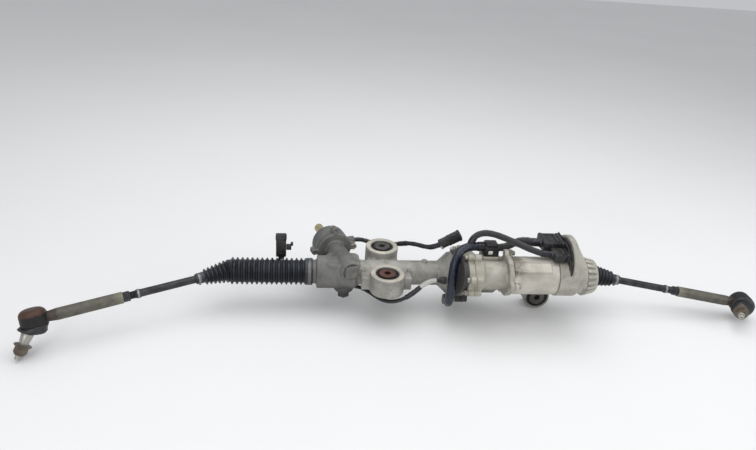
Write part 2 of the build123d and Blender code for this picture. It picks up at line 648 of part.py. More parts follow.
with BuildPart() as pinion_shaft:
    round_bar(along_pinion(-TOOTH_FACE_HALF), PINION_ROOT_RADIUS, 2 * TOOTH_FACE_HALF)
    with BuildSketch(along_pinion(-TOOTH_FACE_HALF)):
        for tooth in range(PINION_TEETH):
            turn = -90 + tooth * 360 / PINION_TEETH
            with Locations(Location((0, 0, 0), (0, 0, turn - 90))):
                with BuildLine():
                    Polyline(
                        (-TOOTH_FOOT_HALF, PINION_ROOT_RADIUS - OVERSHOOT),
                        (-TOOTH_TIP_HALF, PINION_TIP_RADIUS),
                        (TOOTH_TIP_HALF, PINION_TIP_RADIUS),
                        (TOOTH_FOOT_HALF, PINION_ROOT_RADIUS - OVERSHOOT),
                        close=True,
                    )
                make_face()
    extrude(amount=2 * TOOTH_FACE_HALF)
    round_bar(along_pinion(LOWER_BEARING_S), PINION_JOURNAL_RADIUS, -TOOTH_FACE_HALF - LOWER_BEARING_S)
    round_bar(along_pinion(TOOTH_FACE_HALF), UPPER_JOURNAL_RADIUS, SENSOR_BACK_S - TOOTH_FACE_HALF)
    round_bar(along_pinion(SENSOR_BACK_S), INPUT_RADIUS, INPUT_END_S - SENSOR_BACK_S)
    ring(
        along_pinion(INPUT_GROOVE_END_S - INPUT_GROOVE_WIDTH),
        INPUT_RADIUS + OVERSHOOT,
        INPUT_NECK_RADIUS,
        INPUT_GROOVE_WIDTH,
        Mode.SUBTRACT,
    )
save(pinion_shaft, "pinion_shaft")

YOKE_TOP = -6.0
YOKE_BOTTOM = -27.0
YOKE_PLUG_TOP = -31.0
YOKE_PLUG_BOTTOM = -55.0
SPRING_RADIUS = 8.0
SPRING_WIRE = 1.5

with BuildPart() as rack_yoke:
    with BuildSketch(Plane.XY.offset(YOKE_BOTTOM)):
        with Locations((YOKE_X, RACK_Y)):
            Circle(YOKE_RADIUS)
    extrude(amount=YOKE_TOP - YOKE_BOTTOM)
    round_bar(across(YOKE_X - 2 * YOKE_RADIUS), RACK_RADIUS + RUNNING_GAP, 4 * YOKE_RADIUS, Mode.SUBTRACT)
save(rack_yoke, "rack_yoke")

with BuildPart() as yoke_spring:
    with BuildSketch(Plane.XY.offset(YOKE_PLUG_TOP)):
        with Locations((YOKE_X, RACK_Y)):
            Circle(SPRING_RADIUS)
            Circle(SPRING_RADIUS - 2 * SPRING_WIRE, mode=Mode.SUBTRACT)
    extrude(amount=YOKE_BOTTOM - YOKE_PLUG_TOP)
save(yoke_spring, "yoke_spring")


# ---- rack bar ---------------------------------------------------------------------------------
SCREW_START_X = FLARE_START_X - RACK_TRAVEL
SCREW_END_X = MOTOR_FLANGE_X + 8.0
SCREW_PITCH = 7.0
SCREW_GROOVE = 1.6
TOOTH_ZONE_START_X = PINION_X - RACK_TRAVEL - 24.0
TOOTH_ZONE_END_X = PINION_X + 24.0
SLOT_STEP = MODULE * pi / cos(radians(PINION_TILT))
SLOT_REACH = 90.0
RACK_BUSH_LENGTH = 14.0


def rack_slot(spot):
    """Cuts one slot between rack teeth, this far from the rest slot square to the pinion axis."""
    plane = along_pinion(-SLOT_REACH, PINION_PITCH_RADIUS)
    height = TOOTH_DEDENDUM + TOOTH_ADDENDUM + OVERSHOOT
    top_half = RACK_SLOT_FLOOR / 2 + height * tan(radians(PRESSURE_ANGLE))
    slot_plane = Plane(origin=plane.origin + plane.x_dir * spot, x_dir=plane.x_dir, z_dir=plane.z_dir)
    with BuildSketch(slot_plane) as slot:
        with BuildLine():
            Polyline(
                (-RACK_SLOT_FLOOR / 2, -TOOTH_DEDENDUM),
                (RACK_SLOT_FLOOR / 2, -TOOTH_DEDENDUM),
                (top_half, TOOTH_ADDENDUM + OVERSHOOT),
                (-top_half, TOOTH_ADDENDUM + OVERSHOOT),
                close=True,
            )
        make_face()
    extrude(slot.sketch, amount=2 * SLOT_REACH, mode=Mode.SUBTRACT)


with BuildPart() as rack_bar:
    left_end = LEFT_PIVOT_X + PIVOT_TO_RACK_END
    right_end = RIGHT_PIVOT_X - PIVOT_TO_RACK_END
    round_bar(across(left_end), RACK_RADIUS, right_end - left_end)
    tooth_top = RACK_PITCH_HEIGHT + TOOTH_ADDENDUM
    with Locations(((TOOTH_ZONE_START_X + TOOTH_ZONE_END_X) / 2, RACK_Y, tooth_top)):
        Box(
            TOOTH_ZONE_END_X - TOOTH_ZONE_START_X,
            2 * RACK_RADIUS,
            RACK_RADIUS,
            align=(Align.CENTER, Align.CENTER, Align.MIN),
            mode=Mode.SUBTRACT,
        )
    # slots lie along the pinion axis; the one at zero holds a pinion tooth at rest
    for step in range(-1, int(RACK_TRAVEL / SLOT_STEP) + 3):
        rack_slot(step * MODULE * pi)
    # ball screw grooves, as rings at the screw's pitch
    for turn in range(int((SCREW_END_X - SCREW_START_X) / SCREW_PITCH)):
        ring(
            across(SCREW_START_X + turn * SCREW_PITCH),
            RACK_RADIUS + OVERSHOOT,
            RACK_RADIUS - SCREW_GROOVE,
            SCREW_PITCH / 2,
            Mode.SUBTRACT,
        )
save(rack_bar, "rack_bar")

with BuildPart() as rack_bushes:
    for bush_x in (HOUSING_LEFT_X, HOUSING_RIGHT_X - RACK_BUSH_LENGTH):
        ring(across(bush_x), RACK_BORE_RADIUS, RACK_RADIUS + RUNNING_GAP, RACK_BUSH_LENGTH)
save(rack_bushes, "rack_bushes")

# ---- ball nut, belt and pulleys ---------------------------------------------------------------
SHAFT_END_X = PULLEY_START_X - 1.0
MOTOR_START_X = MOTOR_FLANGE_X + MOTOR_FLANGE_THICKNESS
MOTOR_END_X = MOTOR_START_X + MOTOR_LENGTH
MOTOR_BEARING_WIDTH = 6.0
MOTOR_BEARING_X = MOTOR_END_X - 12.0
ROTOR_END_GAP = 7.0
ROTOR_START_X = MOTOR_START_X + 2 * ROTOR_END_GAP
ROTOR_LENGTH = MOTOR_BEARING_X - ROTOR_END_GAP - ROTOR_START_X
BELT_SIDE_GAP = 0.5

with BuildPart() as ball_nut:
    ring(across(PULLEY_START_X), BALL_NUT_RADIUS, RACK_RADIUS + RUNNING_GAP, BALL_NUT_LENGTH)
save(ball_nut, "ball_nut")

with BuildPart() as nut_pulley:
    ring(across(PULLEY_START_X), NUT_PULLEY_RADIUS, BALL_NUT_RADIUS, BELT_WIDTH)
save(nut_pulley, "nut_pulley")

with BuildPart() as drive_belt:
    belt_start = across(PULLEY_START_X + BELT_SIDE_GAP)
    outer_belt = belt_outline(
        belt_start,
        NUT_PULLEY_RADIUS + SOFT_GAP + BELT_THICKNESS,
        MOTOR_PULLEY_RADIUS + SOFT_GAP + BELT_THICKNESS,
    )
    inner_belt = belt_outline(belt_start, NUT_PULLEY_RADIUS + SOFT_GAP, MOTOR_PULLEY_RADIUS + SOFT_GAP)
    extrude(outer_belt, amount=BELT_WIDTH - 2 * BELT_SIDE_GAP)
    extrude(inner_belt, amount=BELT_WIDTH - 2 * BELT_SIDE_GAP, mode=Mode.SUBTRACT)
save(drive_belt, "drive_belt")

with BuildPart() as motor_pulley:
    ring(across(PULLEY_START_X, MOTOR_Y, MOTOR_Z), MOTOR_PULLEY_RADIUS, MOTOR_SHAFT_RADIUS, BELT_WIDTH)
save(motor_pulley, "motor_pulley")

# ---- motor ------------------------------------------------------------------------------------
STATOR_RADIUS = MOTOR_RADIUS - MOTOR_WALL
BAND_WIDTH = 22.0
BAND_HEIGHT = 4.0
BAND_LENGTH = MOTOR_LENGTH - 17.0
BAND_ANGLE = 128.0
BAND_CORNER = 3.0
END_PLATE = 6.0


def motor_axis(x):
    """Plane square to the motor shaft at x."""
    return across(x, MOTOR_Y, MOTOR_Z)


with BuildPart() as motor_housing:
    round_bar(motor_axis(MOTOR_START_X), MOTOR_RADIUS, MOTOR_LENGTH)
    with BuildSketch(motor_axis(MOTOR_START_X)):
        with PolarLocations(MOTOR_RADIUS, 1, start_angle=BAND_ANGLE):
            RectangleRounded(2 * BAND_HEIGHT, BAND_WIDTH, BAND_CORNER)
    extrude(amount=BAND_LENGTH)
    with BuildSketch(motor_axis(MOTOR_START_X)):
        with Locations(*motor_ear_spots()):
            Circle(MOTOR_EAR_RADIUS)
    extrude(amount=END_PLATE)
    round_bar(motor_axis(MOTOR_START_X + END_PLATE), STATOR_RADIUS, MOTOR_LENGTH - END_PLATE, Mode.SUBTRACT)
    round_bar(motor_axis(MOTOR_START_X), MOTOR_SHAFT_RADIUS + OPEN_GAP, END_PLATE, Mode.SUBTRACT)
    with BuildSketch(motor_axis(MOTOR_START_X)):
        with Locations(*motor_ear_spots()):
            Circle(SCREW_RADIUS)
    extrude(amount=END_PLATE, mode=Mode.SUBTRACT)
save(motor_housing, "motor_housing")

with BuildPart() as motor_stator:
    ring(motor_axis(ROTOR_START_X), STATOR_RADIUS, ROTOR_RADIUS + OPEN_GAP, ROTOR_LENGTH)
save(motor_stator, "motor_stator")

with BuildPart() as motor_rotor:
    shaft_length = MOTOR_BEARING_X + MOTOR_BEARING_WIDTH - SHAFT_END_X
    round_bar(motor_axis(SHAFT_END_X), MOTOR_SHAFT_RADIUS, shaft_length)
    ring(motor_axis(ROTOR_START_X), ROTOR_RADIUS, MOTOR_SHAFT_RADIUS - OVERSHOOT, ROTOR_LENGTH)
save(motor_rotor, "motor_rotor")

# ---- control unit -----------------------------------------------------------------------------
UNIT_X = MOTOR_END_X
UNIT_END_X = UNIT_X + UNIT_LENGTH
UNIT_FLANGE_X = UNIT_X + 22.0
UNIT_WALL = 4.0
UNIT_SHOULDER = 3.0
UNIT_FIN_STEP = 2.0
COVER_FIT = 1.0
COVER_BASE = 6.0
COVER_WALL = 12.0
BOARD_X = UNIT_X + 14.0
BOARD_THICKNESS = 3.0
BOARD_RADIUS = UNIT_RADIUS - UNIT_WALL - SOFT_GAP

with BuildPart() as control_unit_case:
    round_bar(motor_axis(UNIT_X), UNIT_RADIUS, UNIT_LENGTH)
    with BuildSketch(across(UNIT_FLANGE_X, UNIT_FLANGE_Y, UNIT_FLANGE_Z)):
        Circle(UNIT_FLANGE_RADIUS)
    extrude(amount=UNIT_FLANGE_THICKNESS)
    with BuildSketch(across(UNIT_FLANGE_X + UNIT_FLANGE_THICKNESS, UNIT_FLANGE_Y, UNIT_FLANGE_Z)):
        Circle(UNIT_FLANGE_RADIUS - UNIT_SHOULDER)
    with BuildSketch(motor_axis(UNIT_END_X + FIN_CAP_LENGTH / 2)):
        Circle(UNIT_RADIUS - UNIT_FIN_STEP)
    loft()
    round_bar(motor_axis(UNIT_X), UNIT_RADIUS - UNIT_WALL, UNIT_LENGTH + FIN_CAP_LENGTH / 2, Mode.SUBTRACT)
save(control_unit_case, "control_unit_case")

with BuildPart() as control_unit_cover:
    round_bar(motor_axis(UNIT_END_X), UNIT_RADIUS - UNIT_WALL - COVER_FIT, FIN_CAP_LENGTH - COVER_FIT)
    cap_plane = motor_axis(UNIT_END_X + FIN_CAP_LENGTH / 2)
    cone(cap_plane, UNIT_RADIUS, FIN_CAP_END_RADIUS, FIN_CAP_LENGTH / 2 + COVER_BASE)
    with BuildSketch(motor_axis(UNIT_END_X + FIN_CAP_LENGTH / 2 - OVERSHOOT)):
        with PolarLocations(UNIT_RADIUS, FIN_COUNT):
            Rectangle(2 * FIN_SLOT_DEPTH, FIN_SLOT_WIDTH)
    extrude(amount=FIN_SLOT_LENGTH + 2 * OVERSHOOT, mode=Mode.SUBTRACT)
    hollow = UNIT_RADIUS - UNIT_WALL - COVER_WALL
    round_bar(motor_axis(UNIT_END_X), hollow, FIN_CAP_LENGTH - COVER_BASE, Mode.SUBTRACT)
save(control_unit_cover, "control_unit_cover")

with BuildPart() as circuit_board:
    round_bar(motor_axis(BOARD_X), BOARD_RADIUS, BOARD_THICKNESS)
save(circuit_board, "circuit_board")

# connector headers on the motor side of the control unit flange, and the plugs in them
HEADER_DEPTH = 10.0
UPPER_HEADER_Y = RACK_Y - 34.0
UPPER_HEADER_Z = 93.0
UPPER_HEADER_SIZE = (46.0, 22.0)
LOWER_HEADER_Y = RACK_Y - 75.0
LOWER_HEADER_Z = 88.0
LOWER_HEADER_SIZE = (34.0, 16.0)
UPPER_PLUG_LENGTH = 36.0
LOWER_PLUG_LENGTH = 24.0
PLUG_BLOCK_CORNER = 2.5


def block_across(x, y, z, size, length, mode=Mode.ADD):
    """Rounded block of size (y, z) from the plane at x."""
    with BuildSketch(across(x, y, z)) as outline:
        RectangleRounded(*size, PLUG_BLOCK_CORNER)
    extrude(outline.sketch, amount=length, mode=mode)


with BuildPart() as connector_header:
    block_across(UNIT_FLANGE_X, UPPER_HEADER_Y, UPPER_HEADER_Z, UPPER_HEADER_SIZE, -HEADER_DEPTH)
    block_across(UNIT_FLANGE_X, LOWER_HEADER_Y, LOWER_HEADER_Z, LOWER_HEADER_SIZE, -HEADER_DEPTH)
save(connector_header, "connector_header")


# ---- clamps -----------------------------------------------------------------------------------
CLAMP_WIDTH = 4.5
CLAMP_THICKNESS = 1.0
CLAMP_LUG_LENGTH = 3.0
CLAMP_LUG_WIDTH = 8.0
CLAMP_LUG_HEIGHT = 3.4
CLAMP_LUG_SINK = 0.3
LEFT_CUFF_X = HOUSING_LEFT_X + 3.0
RIGHT_CUFF_X = HOUSING_RIGHT_X - 3.0


def clamp_ring(plane, radius):
    """Band clamp with a raised closing lug, seated on a cuff of this radius."""
    ring(plane, radius + CLAMP_THICKNESS, radius + RUNNING_GAP, CLAMP_WIDTH)
    with BuildSketch(plane.offset((CLAMP_WIDTH - CLAMP_LUG_LENGTH) / 2)) as lug:
        with Locations((0, -radius - CLAMP_THICKNESS + CLAMP_LUG_SINK)):
            Rectangle(CLAMP_LUG_WIDTH, CLAMP_LUG_HEIGHT, align=(Align.CENTER, Align.MAX))
    extrude(lug.sketch, amount=CLAMP_LUG_LENGTH)


# ---- bellows ----------------------------------------------------------------------------------
CUFF_SKIN = 2.5
CUFF_SHOULDER = 3.2
FOLDS_START = 5.0
NOSE_SKIN = 2.0


def bellows_points(start, length, folds, peak, valley):
    """Radius along a folded skin, as (distance, radius) pairs from valley to valley."""
    half = length / folds / 2
    return [(start + half * index, peak if index % 2 else valley) for index in range(2 * folds + 1)]


def folded_skin(plane, inner_rim, points, skin):
    """Thin folded tube turned about the plane's normal."""
    base = Plane(origin=plane.origin, x_dir=plane.z_dir, z_dir=plane.x_dir)
    outside = inner_rim + points
    with BuildSketch(base) as outline:
        with BuildLine():
            Polyline(*outside, *[(along, radius - skin) for along, radius in reversed(outside)], close=True)
        make_face()
    revolve(outline.sketch, axis=Axis(plane.origin, plane.z_dir))


SIDES = {
    "left": {
        "pivot": Vector(LEFT_PIVOT_X, RACK_Y, 0),
        "along": Vector(-0.9130, -0.4045, -0.0520).normalized(),
        "stud": Vector(-0.345, -0.469, -0.830).normalized(),
        "outward": -1,
        "cuff_x": LEFT_CUFF_X,
    },
    "right": {
        "pivot": Vector(RIGHT_PIVOT_X, RACK_Y, 0),
        "along": Vector(0.9855, -0.1020, -0.1360).normalized(),
        "stud": Vector(-0.55, -0.83, 0.08).normalized(),
        "outward": 1,
        "cuff_x": RIGHT_CUFF_X,
    },
}


def rod_plane(side, s):
    """Plane square to a tie rod at distance s from its inner ball centre."""
    along = SIDES[side]["along"]
    return Plane(origin=SIDES[side]["pivot"] + along * s, x_dir=along.cross(Vector(0, 0, 1)), z_dir=along)


def case_direction(side):
    """Axis of the outer ball case: square to the tie rod, on the side that the stud leans to."""
    along = SIDES[side]["along"]
    stud = SIDES[side]["stud"]
    return (stud - along * stud.dot(along)).normalized()


def stud_plane(side, s, direction):
    """Plane square to direction at distance s from the outer ball centre."""
    along = SIDES[side]["along"]
    centre = SIDES[side]["pivot"] + along * BALL_CENTRE_S
    return Plane(origin=centre + direction * s, x_dir=along.cross(direction), z_dir=direction)


def ball_case(plane, front):
    """Outer ball case turned about the plane's normal: a short cylinder with a domed back."""
    base = Plane(origin=plane.origin, x_dir=plane.z_dir, z_dir=plane.x_dir)
    dome_start = OUTER_CASE_DOME - OUTER_CASE_BACK
    dome_flat = OUTER_CASE_RADIUS - OUTER_CASE_DOME
    with BuildSketch(base) as outline:
        with BuildLine():
            CenterArc((dome_start, dome_flat), OUTER_CASE_DOME, 90, 90)
            Polyline(
                (-OUTER_CASE_BACK, dome_flat),
                (-OUTER_CASE_BACK, 0),
                (front, 0),
                (front, OUTER_CASE_RADIUS),
                (dome_start, OUTER_CASE_RADIUS),
            )
        make_face()
    revolve(outline.sketch, axis=Axis(plane.origin, plane.z_dir))


def ball(centre, radius, mode=Mode.ADD):
    """Sphere about centre."""
    with Locations(centre):
        Sphere(radius, mode=mode)


def seat_shell(plane, ball_radius, seat_radius):
    """Plastic seat round a ball: a shell turned about the plane's normal, open at the mouth."""
    base = Plane(origin=plane.origin, x_dir=plane.z_dir, z_dir=plane.x_dir)
    with BuildSketch(base) as outline:
        Circle(seat_radius - RUNNING_GAP / 2)
        Circle(ball_radius + RUNNING_GAP, mode=Mode.SUBTRACT)
        Rectangle(4 * seat_radius, 2 * seat_radius, align=(Align.CENTER, Align.MAX), mode=Mode.SUBTRACT)
        with Locations((ball_radius * cos(radians(BALL_OPENING)), 0)):
            Rectangle(seat_radius, 4 * seat_radius, align=(Align.MIN, Align.CENTER), mode=Mode.SUBTRACT)
    revolve(outline.sketch, axis=Axis(plane.origin, plane.z_dir))


def taper(first_plane, first_radius, last_plane, last_radius, mode):
    """Round taper between circles on two planes that may lean to each other."""
    with BuildSketch(first_plane) as first:
        Circle(first_radius)
    with BuildSketch(last_plane) as last:
        Circle(last_radius)
    loft(Sketch() + [first.sketch, last.sketch], mode=mode)


inner_sockets = []
large_clamps = []

for side, layout in SIDES.items():
    outward = layout["outward"]
    pivot = layout["pivot"]
    along = layout["along"]
    inner_face = INNER_BALL_RADIUS * cos(radians(BALL_OPENING)) + SOCKET_LIP

    # inner ball socket, screwed on the rack end
    socket_plane = Plane(origin=pivot, x_dir=(0, 1, 0), z_dir=(outward, 0, 0))
    hex_plane = socket_plane.offset(-PIVOT_TO_RACK_END - SOCKET_HEX_LENGTH / 2)
    with BuildPart() as inner_socket:
        round_bar(socket_plane.offset(-PIVOT_TO_RACK_END), SOCKET_RADIUS, PIVOT_TO_RACK_END + inner_face)
        hexagon(hex_plane, SOCKET_FLATS, SOCKET_HEX_LENGTH)
        round_bar(hex_plane, RACK_RADIUS, SOCKET_HEX_LENGTH / 2, Mode.SUBTRACT)
        ball(pivot, INNER_SEAT_RADIUS + RUNNING_GAP / 2, Mode.SUBTRACT)
        round_bar(socket_plane, INNER_SEAT_RADIUS + RUNNING_GAP / 2, inner_face + OVERSHOOT, Mode.SUBTRACT)
    inner_sockets.append(inner_socket.part)

    # ball seat, a shell between socket and ball
    with BuildPart() as inner_seat:
        seat_shell(rod_plane(side, 0), INNER_BALL_RADIUS, INNER_SEAT_RADIUS)
    save(inner_seat, f"{side}_inner_seat")

    # inner tie rod with its ball
    rod_start = INNER_NECK_LENGTH + INNER_SHOULDER_LENGTH
    with BuildPart() as inner_rod:
        ball(pivot, INNER_BALL_RADIUS)
        round_bar(rod_plane(side, 0), INNER_NECK_RADIUS, rod_start)
        cone(rod_plane(side, INNER_NECK_LENGTH), INNER_NECK_RADIUS, INNER_ROD_RADIUS, INNER_SHOULDER_LENGTH)
        round_bar(rod_plane(side, rod_start), INNER_ROD_RADIUS, INNER_ROD_LENGTH - rod_start)
        ring(
            rod_plane(side, NOSE_END - CUFF_LENGTH / 2 - CUFF_GROOVE_LENGTH / 2),
            INNER_ROD_RADIUS + OVERSHOOT,
            INNER_ROD_RADIUS - CUFF_GROOVE_DEPTH,
            CUFF_GROOVE_LENGTH,
            Mode.SUBTRACT,
        )
    save(inner_rod, f"{side}_inner_rod")

    with BuildPart() as jam_nut:
        hexagon(rod_plane(side, JAM_NUT_S), JAM_NUT_FLATS, JAM_NUT_LENGTH)
        round_bar(rod_plane(side, JAM_NUT_S), INNER_ROD_RADIUS + RUNNING_GAP, JAM_NUT_LENGTH, Mode.SUBTRACT)
    save(jam_nut, f"{side}_jam_nut")

    # outer tie rod: threaded sleeve, neck and ball case
    case_axis = case_direction(side)
    case_front = OUTER_BALL_RADIUS * cos(radians(BALL_OPENING)) + CASE_LIP
    case_centre = stud_plane(side, 0, case_axis)
    with BuildPart() as outer_rod:
        round_bar(rod_plane(side, SLEEVE_S), SLEEVE_OUTER_RADIUS, SLEEVE_LENGTH)
        cone(rod_plane(side, SLEEVE_END_S), SLEEVE_OUTER_RADIUS, NECK_RADIUS, NECK_TAPER_LENGTH)
        round_bar(rod_plane(side, SLEEVE_END_S + NECK_TAPER_LENGTH - OVERSHOOT), NECK_RADIUS, NECK_LENGTH)
        ball_case(case_centre, case_front)
        ball(case_centre.origin, OUTER_SEAT_RADIUS + RUNNING_GAP / 2, Mode.SUBTRACT)
        round_bar(case_centre, OUTER_SEAT_RADIUS + RUNNING_GAP / 2, case_front + OVERSHOOT, Mode.SUBTRACT)
        round_bar(
            rod_plane(side, SLEEVE_S),
            INNER_ROD_RADIUS + RUNNING_GAP,
            SLEEVE_ENGAGEMENT + 2 * OVERSHOOT,
            Mode.SUBTRACT,
        )
    save(outer_rod, f"{side}_outer_rod")

    with BuildPart() as outer_seat:
        seat_shell(stud_plane(side, 0, layout["stud"]), OUTER_BALL_RADIUS, OUTER_SEAT_RADIUS)
    save(outer_seat, f"{side}_outer_seat")

    # ball stud with its taper, thread and tip, and the flanged nut
    stud = layout["stud"]
    tip_start = STUD_LENGTH - STUD_TIP_LENGTH
    with BuildPart() as ball_stud:
        ball(case_centre.origin, OUTER_BALL_RADIUS)
        round_bar(stud_plane(side, 0, stud), STUD_NECK_RADIUS, STUD_TAPER_START + OVERSHOOT)
        cone(
            stud_plane(side, STUD_TAPER_START, stud),
            STUD_TAPER_RADIUS,
            STUD_TAPER_TIP_RADIUS,
            STUD_TAPER_END - STUD_TAPER_START,
        )
        round_bar(stud_plane(side, STUD_TAPER_START, stud), STUD_THREAD_RADIUS, tip_start - STUD_TAPER_START)
        round_bar(stud_plane(side, STUD_TAPER_START, stud), STUD_TIP_RADIUS, STUD_LENGTH - STUD_TAPER_START)
    save(ball_stud, f"{side}_ball_stud")

    with BuildPart() as stud_nut:
        round_bar(stud_plane(side, STUD_NUT_START, stud), STUD_NUT_FLANGE, STUD_NUT_FLANGE_THICKNESS)
        hexagon(stud_plane(side, STUD_NUT_START, stud), STUD_NUT_FLATS, STUD_NUT_LENGTH)
        round_bar(
            stud_plane(side, STUD_NUT_START, stud),
            STUD_THREAD_RADIUS + RUNNING_GAP,
            STUD_NUT_LENGTH,
            Mode.SUBTRACT,
        )
    save(stud_nut, f"{side}_stud_nut")

    # dust boot over the ball, closed on the stud neck; its belly leans half as far as the stud
    halfway = (case_axis + stud).normalized()
    with BuildPart() as dust_boot:
        for skin, mode in ((0, Mode.ADD), (BOOT_SKIN, Mode.SUBTRACT)):
            seat_edge = stud_plane(side, case_front + SOFT_GAP, case_axis)
            belly_edge = stud_plane(side, BOOT_BELLY, halfway)
            neck_edge = stud_plane(side, BOOT_END, stud)
            taper(seat_edge, BOOT_SEAT_RADIUS - skin, belly_edge, BOOT_BELLY_RADIUS - skin, mode)
            taper(belly_edge, BOOT_BELLY_RADIUS - skin, neck_edge, BOOT_NECK_RADIUS - skin, mode)
    save(dust_boot, f"{side}_dust_boot")

    # bellows: the cuff and large folds on the housing, the nose on the tie rod
    cuff_plane = Plane(origin=(layout["cuff_x"], RACK_Y, 0), x_dir=(0, 1, 0), z_dir=(outward, 0, 0))
    fold_length = abs(layout["pivot"].X - layout["cuff_x"]) - CUFF_LENGTH
    cuff_radius = COLLAR_RADIUS + CUFF_SKIN
    with BuildPart() as bellows:
        rim = [(-CUFF_LENGTH, cuff_radius), (CUFF_SHOULDER, cuff_radius)]
        folds_run = fold_length + CUFF_LENGTH - FOLDS_START
        folds = bellows_points(FOLDS_START, folds_run, BELLOWS_FOLDS, BELLOWS_PEAK, BELLOWS_VALLEY)
        folded_skin(cuff_plane, rim, folds, BELLOWS_SKIN)
    save(bellows, f"{side}_bellows")

    with BuildPart() as bellows_nose:
        nose_folds = bellows_points(NOSE_START, NOSE_FOLDS_LENGTH, NOSE_FOLDS, NOSE_PEAK, NOSE_VALLEY)
        nose_folds[0] = (NOSE_START, NOSE_PEAK)
        nose_tip = [(NOSE_END - CUFF_LENGTH, NOSE_CUFF_RADIUS), (NOSE_END, NOSE_CUFF_RADIUS)]
        folded_skin(rod_plane(side, 0), [], nose_folds + nose_tip, NOSE_SKIN)
    save(bellows_nose, f"{side}_bellows_nose")

    with BuildPart() as large_clamp:
        clamp_ring(cuff_plane.offset(-CUFF_LENGTH / 2 - CLAMP_WIDTH / 2), cuff_radius)
    large_clamps.append(large_clamp.part)

    with BuildPart() as small_clamp:
        clamp_ring(rod_plane(side, NOSE_END - CUFF_LENGTH / 2 - CLAMP_WIDTH / 2), NOSE_CUFF_RADIUS)
    save(small_clamp, f"{side}_small_clamp")


def write_group(parts, name):
    """Writes separate solids of one kind as one node."""
    group = Compound(children=parts)
    group.label = name
    export_step(group, f"parts/{name}.step")


write_group(inner_sockets, "inner_sockets")
write_group(large_clamps, "large_clamps")

# ---- bearings, bolts and plugs ----------------------------------------------------------------
FRONT_BEARING_WIDTH = 9.0
BREATHER_CAP_INSET = 1.5
BREATHER_CAP_HEIGHT = 3.0

with BuildPart() as bearings:
    ring(
        along_pinion(LOWER_BEARING_S),
        PINION_BORE_RADIUS,
        PINION_JOURNAL_RADIUS + RUNNING_GAP,
        LOWER_BEARING_WIDTH,
    )
    ring(
        along_pinion(UPPER_BEARING_S),
        PINION_BORE_RADIUS,
        UPPER_JOURNAL_RADIUS + RUNNING_GAP,
        UPPER_BEARING_WIDTH,
    )
    ring(across(NUT_BEARING_X), NUT_BEARING_RADIUS, BALL_NUT_RADIUS + RUNNING_GAP, NUT_BEARING_WIDTH)
    ring(
        motor_axis(MOTOR_FLANGE_X - SHAFT_SUPPORT),
        BARREL_LOBE_RADIUS - SHAFT_SUPPORT,
        MOTOR_SHAFT_RADIUS + RUNNING_GAP,
        -FRONT_BEARING_WIDTH,
    )
    ring(motor_axis(MOTOR_BEARING_X), STATOR_RADIUS, MOTOR_SHAFT_RADIUS + RUNNING_GAP, MOTOR_BEARING_WIDTH)
save(bearings, "bearings")


def bolts(plane, spots, shank, head):
    """Hexagon bolts whose heads rise from plane by head and whose shanks run back by shank."""
    with BuildSketch(plane) as heads:
        with Locations(*spots):
            RegularPolygon(radius=SCREW_HEAD_RADIUS, side_count=6)
    extrude(heads.sketch, amount=head)
    with BuildSketch(plane) as shanks:
        with Locations(*spots):
            Circle(SCREW_RADIUS - RUNNING_GAP)
    extrude(shanks.sketch, amount=-shank)


def sensor_bolt_spots():
    """Places of the four sensor bolts about the pinion axis."""
    turns = [radians(90 * quarter) for quarter in range(4)]
    return [(SENSOR_BOLT_RADIUS * cos(turn), SENSOR_BOLT_RADIUS * sin(turn)) for turn in turns]


with BuildPart() as housing_bolts:
    bolts(
        along_pinion(SENSOR_BACK_S + SENSOR_FLANGE_THICKNESS),
        sensor_bolt_spots(),
        2 * SENSOR_FLANGE_THICKNESS - 2,
        SCREW_HEAD_HEIGHT,
    )
    bolts(
        motor_axis(MOTOR_START_X + END_PLATE),
        motor_ear_spots(),
        END_PLATE + MOTOR_FLANGE_THICKNESS,
        SCREW_HEAD_HEIGHT,
    )
    bolts(
        across(CASE_X - CASE_EAR_THICKNESS),
        case_bolt_spots(),
        -(CASE_EAR_THICKNESS + CASE_CAVITY_DEPTH - 2),
        -SCREW_HEAD_HEIGHT,
    )
save(housing_bolts, "housing_bolts")

with BuildPart() as housing_plugs:
    with BuildSketch(along_pinion(PLUG_FACE_S)):
        RectangleRounded(PLUG_SQUARE, PLUG_SQUARE, PLUG_CORNER)
    extrude(amount=PINION_CASE_FRONT - PLUG_FACE_S)
    round_bar(along_pinion(PINION_CASE_FRONT), PINION_BORE_RADIUS, LOWER_BEARING_S - PINION_CASE_FRONT)
    with BuildSketch(Plane.XY.offset(YOKE_PLUG_BOTTOM)):
        with Locations((YOKE_X, RACK_Y)):
            RegularPolygon(radius=YOKE_RADIUS - 1, side_count=6)
    extrude(amount=YOKE_CASE_BOTTOM - YOKE_PLUG_BOTTOM)
    with BuildSketch(Plane.XY.offset(YOKE_CASE_BOTTOM)):
        with Locations((YOKE_X, RACK_Y)):
            Circle(YOKE_RADIUS)
    extrude(amount=YOKE_PLUG_TOP - YOKE_CASE_BOTTOM)
    with BuildSketch(Plane.XY.offset(TUBE_RADIUS + 2)):
        with Locations((BREATHER_X, RACK_Y)):
            Circle(BREATHER_RADIUS - BREATHER_CAP_INSET)
    extrude(amount=BREATHER_CAP_HEIGHT)
save(housing_plugs, "housing_plugs")

# ---- harness: cords, connectors, brackets -----------------------------------------------------
CONDUIT_DIAMETER = 18.0
FRONT_CABLE_DIAMETER = 8.0
SENSOR_LOOM_DIAMETER = 10.0
ARCH_LOOM_DIAMETER = 13.0
POWER_LOOM_DIAMETER = 16.0

